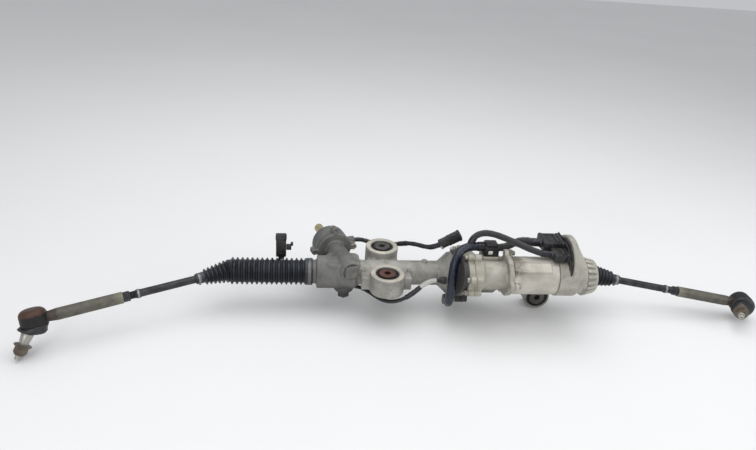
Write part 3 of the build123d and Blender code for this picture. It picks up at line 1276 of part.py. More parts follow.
CONDUIT_ROUTE = [
    (190, 25, 80), (174, 25, 80), (157, 22, 80), (140, 11, 76), (129, -3, 61), (126, -11, 39),
    (126, -15, 16), (126, -14, -6), (127, -8, -24), (129, 2, -37), (131, 12, -43.5), (131, 22, -44),
]
FRONT_CABLE_ROUTE = [
    (-62, 48, -30), (-53, 47, -30), (-42, 38, -28.5), (-30, 20, -26), (-17, -2, -24), (-2, -17, -23),
    (16, -20, -21.5), (34, -17, -17), (52, -14, -5), (68, -9, 8), (82, -6, 16), (94, -5, 19), (104, -5, 19),
]
SENSOR_LOOM_ROUTE = [
    (-55.8, 155.4, 20), (-44.4, 159.1, 20), (-28, 161, 15), (-9, 158, 10), (10, 151.5, 11), (28, 141, 18),
    (44, 125, 29), (57, 107, 40), (70, 89, 47), (83, 73, 51), (97, 61.5, 56), (110, 59, 64),
]
ARCH_LOOM_ROUTE = [
    (163, 25, 84), (166, 27, 94), (175, 29, 104), (190, 28, 109), (207, 23, 109), (230, 12, 105),
    (254, 1, 98.5), (278, -9, 92), (299, -17, 88), (315, -17, 88),
]
POWER_LOOM_ROUTE = [(220, 25, 78), (233, 25, 78), (253, 30, 87), (273, 28, 94), (289, 21, 93), (303, 21, 93)]


def corner_radii(route):
    """Bend radius at each corner of a cord: as large as its two runs allow."""
    radii = []
    for before, corner, after in zip(route, route[1:], route[2:]):
        first = Vector(*corner) - Vector(*before)
        second = Vector(*after) - Vector(*corner)
        half_turn = radians(first.get_angle(second)) / 2
        radii.append(0.45 * min(first.length, second.length) / tan(half_turn))
    return radii


def cord(name, route, diameter):
    """Writes a round cord of this diameter along its route, and prints its bends."""
    radii = corner_radii(route)
    with BuildPart() as tube:
        with BuildLine() as path:
            FilletPolyline(*route, radius=radii)
        with BuildSketch(Plane(origin=Vector(*route[0]), z_dir=Vector(*route[1]) - Vector(*route[0]))):
            Circle(diameter / 2)
        sweep()
    save(tube, name)
    length = sum(edge.length for edge in path.line.edges())
    expected = pi * diameter**2 / 4 * length
    bends = ", ".join(f"{radius:.0f}" for radius in radii)
    print(f"{name}: {length:.0f} mm long, bends {bends}, volume ratio {tube.part.volume / expected:.4f}")


cord("conduit", CONDUIT_ROUTE, CONDUIT_DIAMETER)
cord("front_cable", FRONT_CABLE_ROUTE, FRONT_CABLE_DIAMETER)
cord("sensor_loom", SENSOR_LOOM_ROUTE, SENSOR_LOOM_DIAMETER)
cord("arch_loom", ARCH_LOOM_ROUTE, ARCH_LOOM_DIAMETER)
cord("power_loom", POWER_LOOM_ROUTE, POWER_LOOM_DIAMETER)

JUNCTION_LENGTH = 30.0
JUNCTION_WIDTH = 28.0
JUNCTION_CORNER = 3.0
JUNCTION_HEIGHT = 26.0

with BuildPart() as junction_box:
    with BuildSketch(Plane.XY.offset(PAD_TOP)):
        with Locations((PAD_X, PAD_Y)):
            RectangleRounded(JUNCTION_LENGTH, JUNCTION_WIDTH, JUNCTION_CORNER)
    extrude(amount=JUNCTION_HEIGHT)
save(junction_box, "junction_box")

# ---- connectors on the cords, the clip under the flare and the strap behind the bellows ---------
ROUND_CONNECTOR_RADIUS = 7.5
ROUND_CONNECTOR_LENGTH = 12.6
CONNECTOR_BLOCK = (16.0, 20.0)
INLINE_LENGTH = 48.0
INLINE_DIRECTION = (0.82, -0.12, 0.56)
PARKED_X = -208.0
PARKED_SIZE = (22.0, 12.0)
PARKED_BOTTOM = 17.0
PARKED_HEIGHT = 50.0
STRAP_THICKNESS = 3.0
CLIP_LENGTH = 12.0
CLIP_HALF_WIDTH = 8.0
CLIP_RIM = 2.0
CLIP_GAP = 0.6
INLINE_CORNER = 2.0


def route_end_plane(route):
    """Plane on the free end of a cord, facing away from it."""
    leaving = Vector(*route[-1]) - Vector(*route[-2])
    return Plane(origin=route[-1], x_dir=leaving.cross(Vector(0, 0, 1)), z_dir=leaving)


with BuildPart() as harness_connectors:
    header_x = UNIT_FLANGE_X - HEADER_DEPTH
    block_across(header_x, UPPER_HEADER_Y, UPPER_HEADER_Z, UPPER_HEADER_SIZE, -UPPER_PLUG_LENGTH)
    block_across(header_x, LOWER_HEADER_Y, LOWER_HEADER_Z, LOWER_HEADER_SIZE, -LOWER_PLUG_LENGTH)
    with BuildSketch(Plane(origin=SENSOR_LOOM_ROUTE[-1], x_dir=(0, 1, 0), z_dir=INLINE_DIRECTION)):
        RectangleRounded(*CONNECTOR_BLOCK, INLINE_CORNER)
    extrude(amount=INLINE_LENGTH)
    round_bar(route_end_plane(FRONT_CABLE_ROUTE), ROUND_CONNECTOR_RADIUS, ROUND_CONNECTOR_LENGTH)
    with BuildSketch(Plane.XY.offset(PARKED_BOTTOM)):
        with Locations((PARKED_X, STRAP_Y - PARKED_SIZE[1] / 2)):
            RectangleRounded(*PARKED_SIZE, INLINE_CORNER)
    extrude(amount=PARKED_HEIGHT)
save(harness_connectors, "harness_connectors")

with BuildPart() as harness_brackets:
    with BuildSketch(Plane.XZ.offset(-STRAP_Y)):
        with BuildLine():
            Polyline(
                (STRAP_LUG_X + STRAP_LUG_LENGTH / 2, STRAP_Z - STRAP_HEIGHT / 2),
                (PARKED_X, STRAP_Z - STRAP_HEIGHT / 2),
                (PARKED_X - STRAP_HEIGHT / 2, STRAP_Z),
                (PARKED_X - STRAP_HEIGHT / 2, PARKED_BOTTOM + PARKED_HEIGHT / 2),
                (PARKED_X + STRAP_HEIGHT / 2, PARKED_BOTTOM + PARKED_HEIGHT / 2),
                (PARKED_X + STRAP_HEIGHT / 2, STRAP_Z + STRAP_HEIGHT / 2),
                (STRAP_LUG_X + STRAP_LUG_LENGTH / 2, STRAP_Z + STRAP_HEIGHT / 2),
                close=True,
            )
        make_face()
    extrude(amount=-STRAP_THICKNESS)
    # clip that holds the end of the conduit under the flare flange
    end_x, end_y, end_z = CONDUIT_ROUTE[-1]
    clip_bottom = end_z - CONDUIT_DIAMETER / 2 - CLIP_RIM
    with BuildSketch(Plane.XZ.offset(-end_y - CLIP_GAP - CLIP_LENGTH)):
        with Locations((end_x, clip_bottom)):
            Rectangle(2 * CLIP_HALF_WIDTH, -FLARE_RADIUS / 2 - clip_bottom, align=(Align.CENTER, Align.MIN))
    extrude(amount=CLIP_LENGTH)
    round_bar(across(end_x - 2 * CLIP_HALF_WIDTH), FLARE_RADIUS, 4 * CLIP_HALF_WIDTH, Mode.SUBTRACT)
save(harness_brackets, "harness_brackets")
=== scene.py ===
import math

import bmesh
import bpy
from mathutils import Matrix, Vector


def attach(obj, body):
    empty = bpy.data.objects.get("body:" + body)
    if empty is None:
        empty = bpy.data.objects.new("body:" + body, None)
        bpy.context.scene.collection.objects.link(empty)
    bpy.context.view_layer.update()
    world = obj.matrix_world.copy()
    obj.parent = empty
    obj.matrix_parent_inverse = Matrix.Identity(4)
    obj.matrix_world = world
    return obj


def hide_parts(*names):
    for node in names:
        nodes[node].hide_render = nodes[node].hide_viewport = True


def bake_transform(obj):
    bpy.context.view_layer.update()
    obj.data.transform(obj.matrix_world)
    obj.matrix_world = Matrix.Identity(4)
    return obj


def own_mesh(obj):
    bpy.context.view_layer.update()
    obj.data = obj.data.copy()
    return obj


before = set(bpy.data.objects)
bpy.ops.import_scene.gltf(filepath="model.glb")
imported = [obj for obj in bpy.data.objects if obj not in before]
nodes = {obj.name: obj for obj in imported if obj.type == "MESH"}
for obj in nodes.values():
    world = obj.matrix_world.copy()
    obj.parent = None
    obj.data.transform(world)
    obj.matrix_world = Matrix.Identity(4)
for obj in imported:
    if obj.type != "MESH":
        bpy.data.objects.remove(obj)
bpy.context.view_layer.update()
MM = 0.001

# ---- places, from the frame -------------------------------------------------------------------
RACK_Y = 0.055
FRONT_BUSH = Vector((0, 0, 0))
REAR_BUSH = Vector((0, 0.110, 0))
SIDE_BUSH = Vector((0.334, 0.0475, -0.055))
BOSS_REACH = 0.034
MOTOR_Y = RACK_Y - 0.072
MOTOR_Z = 0.040
UNIT_FLANGE_X = 0.349
HEADER_DEPTH = 0.010
NOSE_TAPER = 0.165
PINION = Vector((-0.080, RACK_Y, 0.020))
PINION_TILT = math.radians(18)
PINION_DIRECTION = Vector((-math.sin(PINION_TILT), math.cos(PINION_TILT), 0))
SIDES = {
    "left": {
        "pivot": Vector((-0.307, RACK_Y, 0)),
        "along": Vector((-0.9130, -0.4045, -0.0520)).normalized(),
        "stud": Vector((-0.345, -0.469, -0.830)).normalized(),
        "outward": -1,
    },
    "right": {
        "pivot": Vector((0.438, RACK_Y, 0)),
        "along": Vector((0.9855, -0.1020, -0.1360)).normalized(),
        "stud": Vector((-0.55, -0.83, 0.08)).normalized(),
        "outward": 1,
    },
}
BALL_CENTRE = 0.350
SLEEVE_START = 0.202
SLEEVE_END = 0.312
for layout in SIDES.values():
    lean = layout["stud"].dot(layout["along"])
    layout["case_axis"] = (layout["stud"] - layout["along"] * lean).normalized()
    layout["ball"] = layout["pivot"] + layout["along"] * BALL_CENTRE


# ---- shader helpers ---------------------------------------------------------------------------
class Shader:
    """A material's node tree, with short calls for the nodes that the finishes share."""

    def __init__(self, name, roughness=0.5, metallic=0.0, place="Object", **sockets):
        self.material = bpy.data.materials.new(name)
        self.material.use_nodes = True
        self.nodes = self.material.node_tree.nodes
        self.links = self.material.node_tree.links
        self.surface = self.nodes["Principled BSDF"]
        self.surface.inputs["Roughness"].default_value = roughness
        self.surface.inputs["Metallic"].default_value = metallic
        for socket, value in sockets.items():
            self.surface.inputs[socket.replace("_", " ")].default_value = value
        self.place = self.nodes.new("ShaderNodeTexCoord").outputs[place]

    def add(self, kind, **settings):
        node = self.nodes.new("ShaderNode" + kind)
        for name, value in settings.items():
            setattr(node, name, value)
        return node

    def feed(self, socket, value):
        """Links a socket, or sets it where value is a plain one."""
        if isinstance(value, bpy.types.NodeSocket):
            self.links.new(value, socket)
        else:
            socket.default_value = value

    def stretched(self, scale, turn=(0, 0, 0)):
        """Object coordinates stretched by scale and turned."""
        mapping = self.add("Mapping")
        self.feed(mapping.inputs["Vector"], self.place)
        mapping.inputs["Scale"].default_value = scale
        mapping.inputs["Rotation"].default_value = turn
        return mapping.outputs["Vector"]

    def noise(self, scale, detail=4, roughness=0.55, distortion=0.0, vector=None):
        node = self.add("TexNoise")
        self.feed(node.inputs["Vector"], vector or self.place)
        node.inputs["Scale"].default_value = scale
        node.inputs["Detail"].default_value = detail
        node.inputs["Roughness"].default_value = roughness
        node.inputs["Distortion"].default_value = distortion
        return node.outputs["Fac"]

    def spread(self, value, low, high, start=0.0, end=1.0):
        """Maps low..high to start..end, held at both ends."""
        node = self.add("MapRange")
        self.feed(node.inputs["Value"], value)
        node.inputs["From Min"].default_value = low
        node.inputs["From Max"].default_value = high
        node.inputs["To Min"].default_value = start
        node.inputs["To Max"].default_value = end
        return node.outputs["Result"]

    def maths(self, operation, first, second=0.0):
        node = self.add("Math", operation=operation)
        self.feed(node.inputs[0], first)
        self.feed(node.inputs[1], second)
        return node.outputs[0]

    def mix(self, factor, first, second):
        """Colour between first and second."""
        node = self.add("Mix", data_type="RGBA")
        self.feed(node.inputs["Factor"], factor)
        for socket, value in ((node.inputs["A"], first), (node.inputs["B"], second)):
            self.feed(socket, value if isinstance(value, bpy.types.NodeSocket) else (*value, 1))
        return node.outputs["Result"]

    def axis(self, name):
        """One of the object's coordinates, in metres."""
        node = self.add("SeparateXYZ")
        self.feed(node.inputs[0], self.place)
        return node.outputs[name]

    def along(self, origin, direction):
        """Distance in metres from origin in a direction."""
        offset = self.add("VectorMath", operation="SUBTRACT")
        self.feed(offset.inputs[0], self.place)
        offset.inputs[1].default_value = origin
        reach = self.add("VectorMath", operation="DOT_PRODUCT")
        self.feed(reach.inputs[0], offset.outputs["Vector"])
        reach.inputs[1].default_value = direction
        return reach.outputs["Value"]

    def wrap(self, around, lengthwise):
        """Turns of a helix on a cord's own coordinates: whole starts around, turns per girth of length."""
        part = self.add("SeparateXYZ")
        self.feed(part.inputs[0], self.place)
        first = self.maths("MULTIPLY", part.outputs["X"], around)
        return self.maths("ADD", first, self.maths("MULTIPLY", part.outputs["Y"], lengthwise))

    def bump(self, height, distance, strength=1.0, below=None):
        node = self.add("Bump")
        self.feed(node.inputs["Height"], height)
        node.inputs["Distance"].default_value = distance
        node.inputs["Strength"].default_value = strength
        if below:
            self.feed(node.inputs["Normal"], below)
        return node.outputs["Normal"]

    def done(self, colour, roughness, normal=None):
        self.feed(self.surface.inputs["Base Color"], colour)
        self.feed(self.surface.inputs["Roughness"], roughness)
        if normal is not None:
            self.feed(self.surface.inputs["Normal"], normal)
        return self.material


# ---- finishes ---------------------------------------------------------------------------------
def cast_alloy(name, light, dark, grain=1.0, grime=0.5):
    """Sand cast aluminium: mottled and grainy, with grime in patches."""
    s = Shader(name, roughness=0.6, metallic=0.35)
    mottle = s.spread(s.noise(22, detail=6, distortion=0.4), 0.35, 0.68)
    colour = s.mix(mottle, dark, light)
    spots = s.spread(s.noise(140, detail=5, roughness=0.7), 0.56, 0.72, 0.0, grime)
    colour = s.mix(spots, colour, tuple(0.35 * tone for tone in dark))
    streaks = s.spread(s.noise(9, detail=8, roughness=0.7, distortion=1.2), 0.58, 0.75, 0.0, grime * 0.8)
    colour = s.mix(streaks, colour, (0.21, 0.18, 0.13))
    rough = s.spread(s.noise(60, detail=4), 0.3, 0.7, 0.42, 0.72)
    pits = s.bump(s.noise(1400 * grain, detail=3, roughness=0.65), 0.0004, 0.55)
    skin = s.bump(s.noise(160, detail=4), 0.0007, 0.5, pits)
    return s.done(colour, rough, skin)


def moulded_black(name, tone=(0.012, 0.012, 0.014), dust=0.25, rough=(0.34, 0.6), grain=900):
    """Black moulded plastic or rubber with a fine grain and a film of dust."""
    s = Shader(name, roughness=0.5)
    film = s.spread(s.noise(45, detail=7, roughness=0.65, distortion=0.6), 0.45, 0.8, 0.0, dust)
    colour = s.mix(film, tone, (0.24, 0.23, 0.21))
    fine = s.bump(s.noise(grain, detail=3), 0.0002, 0.5)
    broad = s.bump(s.noise(120, detail=3), 0.0005, 0.35, fine)
    return s.done(colour, s.spread(s.noise(70, detail=4), 0.3, 0.7, *rough), broad)


def rubber_with_dust_and_sheen(name):
    """Folded black bellows: satin, with blue-grey dust and a painted blue-grey sheen on upward faces."""
    s = Shader(name, roughness=0.42)
    geometry = s.add("NewGeometry")
    facing = s.add("SeparateXYZ")
    s.feed(facing.inputs[0], geometry.outputs["Normal"])
    # upward faces made lighter: partly dust, partly a painted sheen from the light above
    upward_sheen_and_dust = s.spread(facing.outputs["Z"], 0.1, 0.95)
    patch = s.spread(s.noise(30, detail=7, roughness=0.7), 0.35, 0.75)
    colour = s.mix(s.maths("MULTIPLY", upward_sheen_and_dust, patch), (0.007, 0.008, 0.011), (0.070, 0.080, 0.100))
    grain = s.bump(s.noise(800, detail=3), 0.0002, 0.4)
    return s.done(colour, s.spread(patch, 0, 1, 0.32, 0.55), grain)


def dark_steel(name, light, dark, rust, rust_amount=0.3, metallic=0.55):
    """Forged bar steel, dull with dust and blooms of rust."""
    s = Shader(name, roughness=0.55, metallic=metallic)
    base = s.mix(s.spread(s.noise(55, detail=6), 0.35, 0.7), dark, light)
    bloom = s.spread(s.noise(75, detail=8, roughness=0.75, distortion=0.8), 0.5, 0.72, 0.0, rust_amount)
    colour = s.mix(bloom, base, rust)
    speck = s.spread(s.noise(600, detail=4), 0.6, 0.72, 0.0, 0.5)
    colour = s.mix(speck, colour, tuple(0.4 * tone for tone in dark))
    bump = s.bump(s.noise(900, detail=4), 0.0003, 0.5, s.bump(s.noise(110, detail=5), 0.0006, 0.4))
    return s.done(colour, s.spread(bloom, 0, rust_amount, 0.42, 0.8), bump)


def plated_steel(name, tone=(0.62, 0.61, 0.58), rough=0.32, rust=0.15):
    """Turned or plated steel with fine scratches and a little tarnish."""
    s = Shader(name, roughness=rough, metallic=0.9)
    tarnish = s.spread(s.noise(90, detail=7, roughness=0.7), 0.45, 0.75, 0.0, 0.6)
    colour = s.mix(tarnish, tone, tuple(0.55 * part for part in tone))
    stain = s.spread(s.noise(60, detail=8, distortion=1.0), 0.58, 0.7, 0.0, rust)
    colour = s.mix(stain, colour, (0.20, 0.10, 0.04))
    scratches = s.noise(300, detail=2, vector=s.stretched((1, 14, 14), (0.3, 0.2, 0.4)))
    bump = s.bump(scratches, 0.0001, 0.4)
    return s.done(colour, s.spread(tarnish, 0, 0.6, rough, rough + 0.25), bump)


def braided(name, tone, light, starts=16, dust=0.7, sheen=0.25):
    """Braided cord sleeve: two crossing sets of threads, worn pale on their crowns."""
    s = Shader(name, roughness=0.75, place="UV", Sheen_Weight=sheen)
    one, two = (
        s.maths("SINE", s.maths("MULTIPLY", s.wrap(way * starts, starts), math.tau)) for way in (1, -1)
    )
    crown = s.maths("MAXIMUM", one, two)
    threads = s.spread(crown, -0.2, 1.0)
    worn = s.spread(s.noise(9, detail=8, roughness=0.75), 0.35, 0.75, 0.0, dust)
    colour = s.mix(s.maths("MULTIPLY", threads, worn), tone, light)
    bump = s.bump(threads, 0.0006, 0.8, s.bump(s.noise(7, detail=5), 0.0012, 0.5))
    return s.done(colour, s.spread(worn, 0, 1, 0.6, 0.85), bump)


def taped(name, tone, light, wraps=0.55, gloss=(0.35, 0.6), dust=0.5):
    """Cord wound in tape: overlapping turns with raised edges, scuffs and a film of dust."""
    s = Shader(name, roughness=0.5, place="UV")
    turn = s.maths("FRACT", s.wrap(1, wraps * 2.2))
    edge = s.spread(turn, 0.0, 0.09)
    film = s.spread(s.noise(6, detail=8, roughness=0.7, distortion=0.6), 0.42, 0.75, 0.0, dust)
    colour = s.mix(film, tone, light)
    colour = s.mix(edge, tuple(0.35 * part for part in tone), colour)
    bump = s.bump(
        s.maths("MULTIPLY", turn, edge), 0.0007, 0.8, s.bump(s.noise(14, detail=6), 0.0008, 0.6)
    )
    return s.done(colour, s.spread(film, 0, dust, *gloss), bump)


def forged_end(name, side, case_tone, cap_tone):
    """Outer tie rod: dusty sleeve, darker neck, ball case, and the cap on the case's back."""
    layout = SIDES[side]
    s = Shader(name, roughness=0.6, metallic=0.3)
    reach = s.along(layout["pivot"], layout["along"])
    depth = s.along(layout["ball"], -layout["case_axis"])
    mottle = s.spread(s.noise(70, detail=7, roughness=0.7, distortion=0.5), 0.32, 0.7)
    wander = s.spread(s.noise(240, detail=3), 0.3, 0.7, -0.0012, 0.0012)
    sleeve = s.mix(mottle, (0.060, 0.056, 0.046), (0.155, 0.145, 0.115))
    dusty_end = s.spread(reach, SLEEVE_START, SLEEVE_START + 0.022, 1.0, 0.0)
    sleeve = s.mix(s.maths("MULTIPLY", dusty_end, 0.6), sleeve, (0.26, 0.25, 0.18))
    neck = s.mix(mottle, (0.030, 0.022, 0.018), (0.085, 0.062, 0.048))
    case = s.mix(mottle, tuple(0.5 * part for part in case_tone), case_tone)
    cap = s.mix(mottle, tuple(0.4 * part for part in cap_tone), cap_tone)
    past_sleeve = s.spread(s.maths("ADD", reach, wander), SLEEVE_END - 0.001, SLEEVE_END + 0.003)
    past_neck = s.spread(s.maths("ADD", reach, wander), BALL_CENTRE - 0.026, BALL_CENTRE - 0.020)
    on_cap = s.spread(s.maths("ADD", depth, wander), 0.0085, 0.0105)
    colour = s.mix(past_neck, s.mix(past_sleeve, sleeve, neck), s.mix(on_cap, case, cap))
    grain = s.bump(
        s.noise(700, detail=5, roughness=0.7), 0.0004, 0.6, s.bump(s.noise(90, detail=5), 0.0009, 0.5)
    )
    return s.done(colour, s.spread(mottle, 0, 1, 0.42, 0.72), grain)


def motor_skin(name):
    """Motor casing: cream cast alloy with painted shade in dark patches on its top by the flange, under
    the cords, and fine tool marks.
    """
    s = Shader(name, roughness=0.5, metallic=0.3)
    mottle = s.spread(s.noise(26, detail=7, distortion=0.5), 0.32, 0.7)
    colour = s.mix(mottle, (0.40, 0.375, 0.325), (0.62, 0.59, 0.525))
    # painted shade: dark patches on the top by the flange, where the looms lie over it; the stain mask
    # below carries this shade
    near_flange = s.spread(s.axis("X"), 0.238, 0.275, 1.0, 0.0)
    high = s.spread(s.axis("Z"), 0.030, 0.066)
    patch = s.spread(s.noise(38, detail=6, roughness=0.65, distortion=0.8), 0.38, 0.58)
    stain = s.maths("MULTIPLY", s.maths("MULTIPLY", near_flange, high), patch)
    colour = s.mix(s.maths("MULTIPLY", stain, 0.95), colour, (0.085, 0.07, 0.05))
    specks = s.spread(s.noise(210, detail=4), 0.62, 0.72, 0.0, 0.5)
    colour = s.mix(specks, colour, (0.24, 0.20, 0.15))
    pits = s.bump(s.noise(1800, detail=3), 0.0003, 0.5, s.bump(s.noise(180, detail=4), 0.0006, 0.4))
    return s.done(colour, s.spread(mottle, 0, 1, 0.4, 0.6), pits)


def pinion_skin(name):
    """Pinion housing: warm grey casting, darker about the pinion, with painted shade on its lower part and
    bright faces on the bosses.
    """
    s = Shader(name, roughness=0.6, metallic=0.3)
    mottle = s.spread(s.noise(22, detail=7, roughness=0.6, distortion=0.4), 0.33, 0.68)
    colour = s.mix(mottle, (0.20, 0.195, 0.175), (0.40, 0.39, 0.355))
    dark = s.mix(mottle, (0.095, 0.095, 0.092), (0.21, 0.207, 0.197))
    wander = s.spread(s.noise(30, detail=5), 0.3, 0.7, -0.012, 0.012)
    pinion_side = s.spread(s.maths("ADD", s.axis("X"), wander), -0.066, -0.046, 1.0, 0.0)
    colour = s.mix(pinion_side, colour, dark)
    grime = s.spread(s.noise(55, detail=8, roughness=0.75, distortion=1.0), 0.52, 0.72, 0.0, 0.75)
    colour = s.mix(grime, colour, (0.13, 0.115, 0.09))
    specks = s.spread(s.noise(260, detail=4), 0.6, 0.7, 0.0, 0.6)
    colour = s.mix(specks, colour, (0.14, 0.12, 0.10))
    # painted shade: the casting is darkened towards the bottom, where light does not reach
    low = s.spread(s.axis("Z"), -0.040, -0.014, 0.85, 0.0)
    colour = s.mix(low, colour, (0.035, 0.034, 0.032))
    across = s.maths("MULTIPLY", s.axis("X"), s.axis("X"))
    near = 0.0
    for bush_y in (FRONT_BUSH.y, REAR_BUSH.y):
        deep = s.maths("SUBTRACT", s.axis("Y"), bush_y)
        reach = s.maths("ADD", across, s.maths("MULTIPLY", deep, deep))
        near = s.maths(
            "MAXIMUM", near, s.spread(reach, BOSS_REACH**2, (1.03 * BOSS_REACH) ** 2, 1.0, 0.0)
        )
    face = s.maths("MULTIPLY", near, s.spread(s.axis("Z"), 0.0306, 0.0314))
    colour = s.mix(face, colour, s.mix(mottle, (0.36, 0.335, 0.275), (0.58, 0.55, 0.47)))
    pits = s.bump(
        s.noise(1500, detail=3, roughness=0.65),
        0.0004,
        0.6,
        s.bump(s.noise(170, detail=4), 0.0009, 0.55),
    )
    return s.done(colour, s.spread(mottle, 0, 1, 0.48, 0.7), pits)


def stained_casting_with_shade(name):
    """Belt cover and gear case: cream casting with a yellow-green stain and dark runs, and painted shade
    on its underside and on the cover's face.
    """
    s = Shader(name, roughness=0.6, metallic=0.3)
    mottle = s.spread(s.noise(24, detail=7, distortion=0.5), 0.32, 0.7)
    colour = s.mix(mottle, (0.27, 0.255, 0.215), (0.50, 0.48, 0.42))
    near_cover = s.spread(s.axis("X"), 0.158, 0.182, 1.0, 0.0)
    patch = s.spread(s.noise(34, detail=7, roughness=0.7, distortion=1.0), 0.36, 0.6)
    stain = s.maths("MULTIPLY", s.maths("MULTIPLY", near_cover, patch), 0.4)
    colour = s.mix(stain, colour, (0.27, 0.27, 0.16))
    runs = s.spread(
        s.noise(60, detail=7, roughness=0.75, vector=s.stretched((1, 1, 0.25))), 0.55, 0.72, 0.0, 0.8
    )
    colour = s.mix(runs, colour, (0.11, 0.095, 0.07))
    # painted shade: darker towards the bottom, and near black on the cover's face at x 0.150, which stands
    # in shadow
    low = s.spread(s.axis("Z"), -0.034, -0.008, 0.93, 0.0)
    cover_face_shade = s.spread(s.axis("X"), 0.1495, 0.1515, 0.93, 0.0)
    colour = s.mix(s.maths("MAXIMUM", low, cover_face_shade), colour, (0.022, 0.022, 0.024))
    pits = s.bump(s.noise(1500, detail=3), 0.0004, 0.6, s.bump(s.noise(170, detail=4), 0.0008, 0.5))
    return s.done(colour, s.spread(mottle, 0, 1, 0.45, 0.68), pits)


FINISH = {
    "casting": cast_alloy("cast alloy", (0.38, 0.37, 0.33), (0.20, 0.19, 0.17)),
    "pinion_casting": pinion_skin("pinion housing casting"),
    "stained": stained_casting_with_shade("belt drive casting"),
    "sensor": cast_alloy("grey casting", (0.19, 0.19, 0.18), (0.085, 0.085, 0.083), grime=0.6),
    "motor": motor_skin("motor casing"),
    "unit": cast_alloy(
        "control unit casing", (0.52, 0.50, 0.44), (0.31, 0.295, 0.255), grain=1.2, grime=0.5
    ),
    "boot": moulded_black(
        "dust boot", tone=(0.011, 0.012, 0.014), dust=0.18, rough=(0.38, 0.6), grain=700
    ),
    "stud": plated_steel("stud steel", (0.42, 0.405, 0.37), 0.38, 0.2),
    "bolt": plated_steel("bolt heads", (0.36, 0.34, 0.30), 0.42, 0.4),
    "pale": moulded_black("pale tab", tone=(0.66, 0.65, 0.62), dust=0.5),
    "rubber": moulded_black("bush rubber", dust=0.12, rough=(0.5, 0.8)),
    "plastic": moulded_black("black plastic", dust=0.2),
    "navy": moulded_black("navy moulding", tone=(0.010, 0.014, 0.032), dust=0.2),
    "bellows": rubber_with_dust_and_sheen("bellows"),
    "rod": dark_steel(
        "tie rod steel", (0.062, 0.064, 0.070), (0.020, 0.021, 0.024), (0.10, 0.065, 0.04)
    ),
    "left_end": forged_end("left tie rod end", "left", (0.016, 0.015, 0.015), (0.095, 0.046, 0.030)),
    "right_end": forged_end("right tie rod end", "right", (0.020, 0.019, 0.019), (0.045, 0.042, 0.040)),
    "nut": dark_steel(
        "rusty nut", (0.16, 0.135, 0.10), (0.07, 0.055, 0.042), (0.17, 0.10, 0.055), 0.6, 0.4
    ),
    "red_sleeve": dark_steel(
        "red sleeve", (0.15, 0.055, 0.042), (0.050, 0.020, 0.018), (0.20, 0.075, 0.045), 0.6, 0.2
    ),
    "grey_sleeve": dark_steel(
        "grey sleeve", (0.14, 0.13, 0.12), (0.045, 0.045, 0.045), (0.2, 0.14, 0.1), 0.3, 0.4
    ),
    "steel": plated_steel("turned steel"),
    "clamp": plated_steel("clamp band", (0.17, 0.17, 0.165), 0.34, 0.1),
    "brass": plated_steel("passivated steel", (0.46, 0.41, 0.24), 0.4, 0.3),
    "dull_clamp": plated_steel("dull clamp band", (0.30, 0.30, 0.29), 0.45, 0.1),
    "conduit": taped(
        "conduit cover", (0.004, 0.007, 0.020), (0.026, 0.036, 0.072), 0.5, (0.24, 0.45), 0.5
    ),
    "tape": taped("loom tape", (0.008, 0.008, 0.010), (0.055, 0.055, 0.058), 0.8, (0.35, 0.6), 0.5),
    "braid": braided("woven loom", (0.009, 0.009, 0.011), (0.085, 0.085, 0.087)),
    "shrink": taped("heat shrink", (0.007, 0.007, 0.014), (0.05, 0.05, 0.07), 0.02, (0.22, 0.4), 0.3),
    "white": braided("white sleeve", (0.42, 0.41, 0.38), (0.82, 0.81, 0.77), 10, 1.0, 0.1),
    "tag": moulded_black("pale tag", tone=(0.50, 0.37, 0.38), dust=0.3),
}


# ---- mesh helpers -----------------------------------------------------------------------------
def add_piece(name, shape, finish, body, stands_for=(), smooth=math.radians(38)):
    """Makes a mesh or a bmesh a piece of this body, or of none where body is empty."""
    mesh = shape if isinstance(shape, bpy.types.Mesh) else to_mesh(shape, name)
    piece = bpy.data.objects.new(name, mesh)
    bpy.context.scene.collection.objects.link(piece)
    mesh.materials.clear()
    mesh.materials.append(FINISH[finish])
    mesh.shade_smooth()
    if smooth:
        mesh.set_sharp_from_angle(angle=smooth)
    if body:
        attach(piece, body)
    if stands_for:
        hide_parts(*stands_for)
    return piece


def to_mesh(bm, name):
    """Closes a bmesh off as a mesh, normals outward."""
    bmesh.ops.remove_doubles(bm, verts=bm.verts[:], dist=1e-6)
    bmesh.ops.recalc_face_normals(bm, faces=bm.faces[:])
    mesh = bpy.data.meshes.new(name)
    bm.to_mesh(mesh)
    bm.free()
    return mesh


def facing(origin, direction, upright=Vector((0, 0, 1))):
    """Matrix that puts local Z on direction at origin, and local X as near upright as it can be."""
    direction = Vector(direction).normalized()
    side = upright - direction * upright.dot(direction)
    if side.length < 1e-4:
        side = Vector((1, 0, 0)) - direction * direction.x
    side.normalize()
    turn = Matrix((side, direction.cross(side), direction)).transposed()
    return Matrix.Translation(Vector(origin)) @ turn.to_4x4()


def lathe(profile, place, segments=64):
    """bmesh of a profile of (along, radius) points, in mm, turned about local Z of place."""
    bm = bmesh.new()
    points = [bm.verts.new((radius * MM, 0, along * MM)) for along, radius in profile]
    edges = [bm.edges.new(pair) for pair in zip(points, points[1:])]
    if profile[0] != profile[-1] and profile[0][1] > 0.01 and profile[-1][1] > 0.01:
        edges.append(bm.edges.new((points[-1], points[0])))
    bmesh.ops.spin(
        bm,
        geom=points + edges,
        cent=(0, 0, 0),
        axis=(0, 0, 1),
        angle=math.tau,
        steps=segments,
        use_merge=True,
        use_duplicate=False,
    )
    bmesh.ops.remove_doubles(bm, verts=bm.verts[:], dist=1e-6)
    bmesh.ops.transform(bm, matrix=place, verts=bm.verts[:])
    return bm


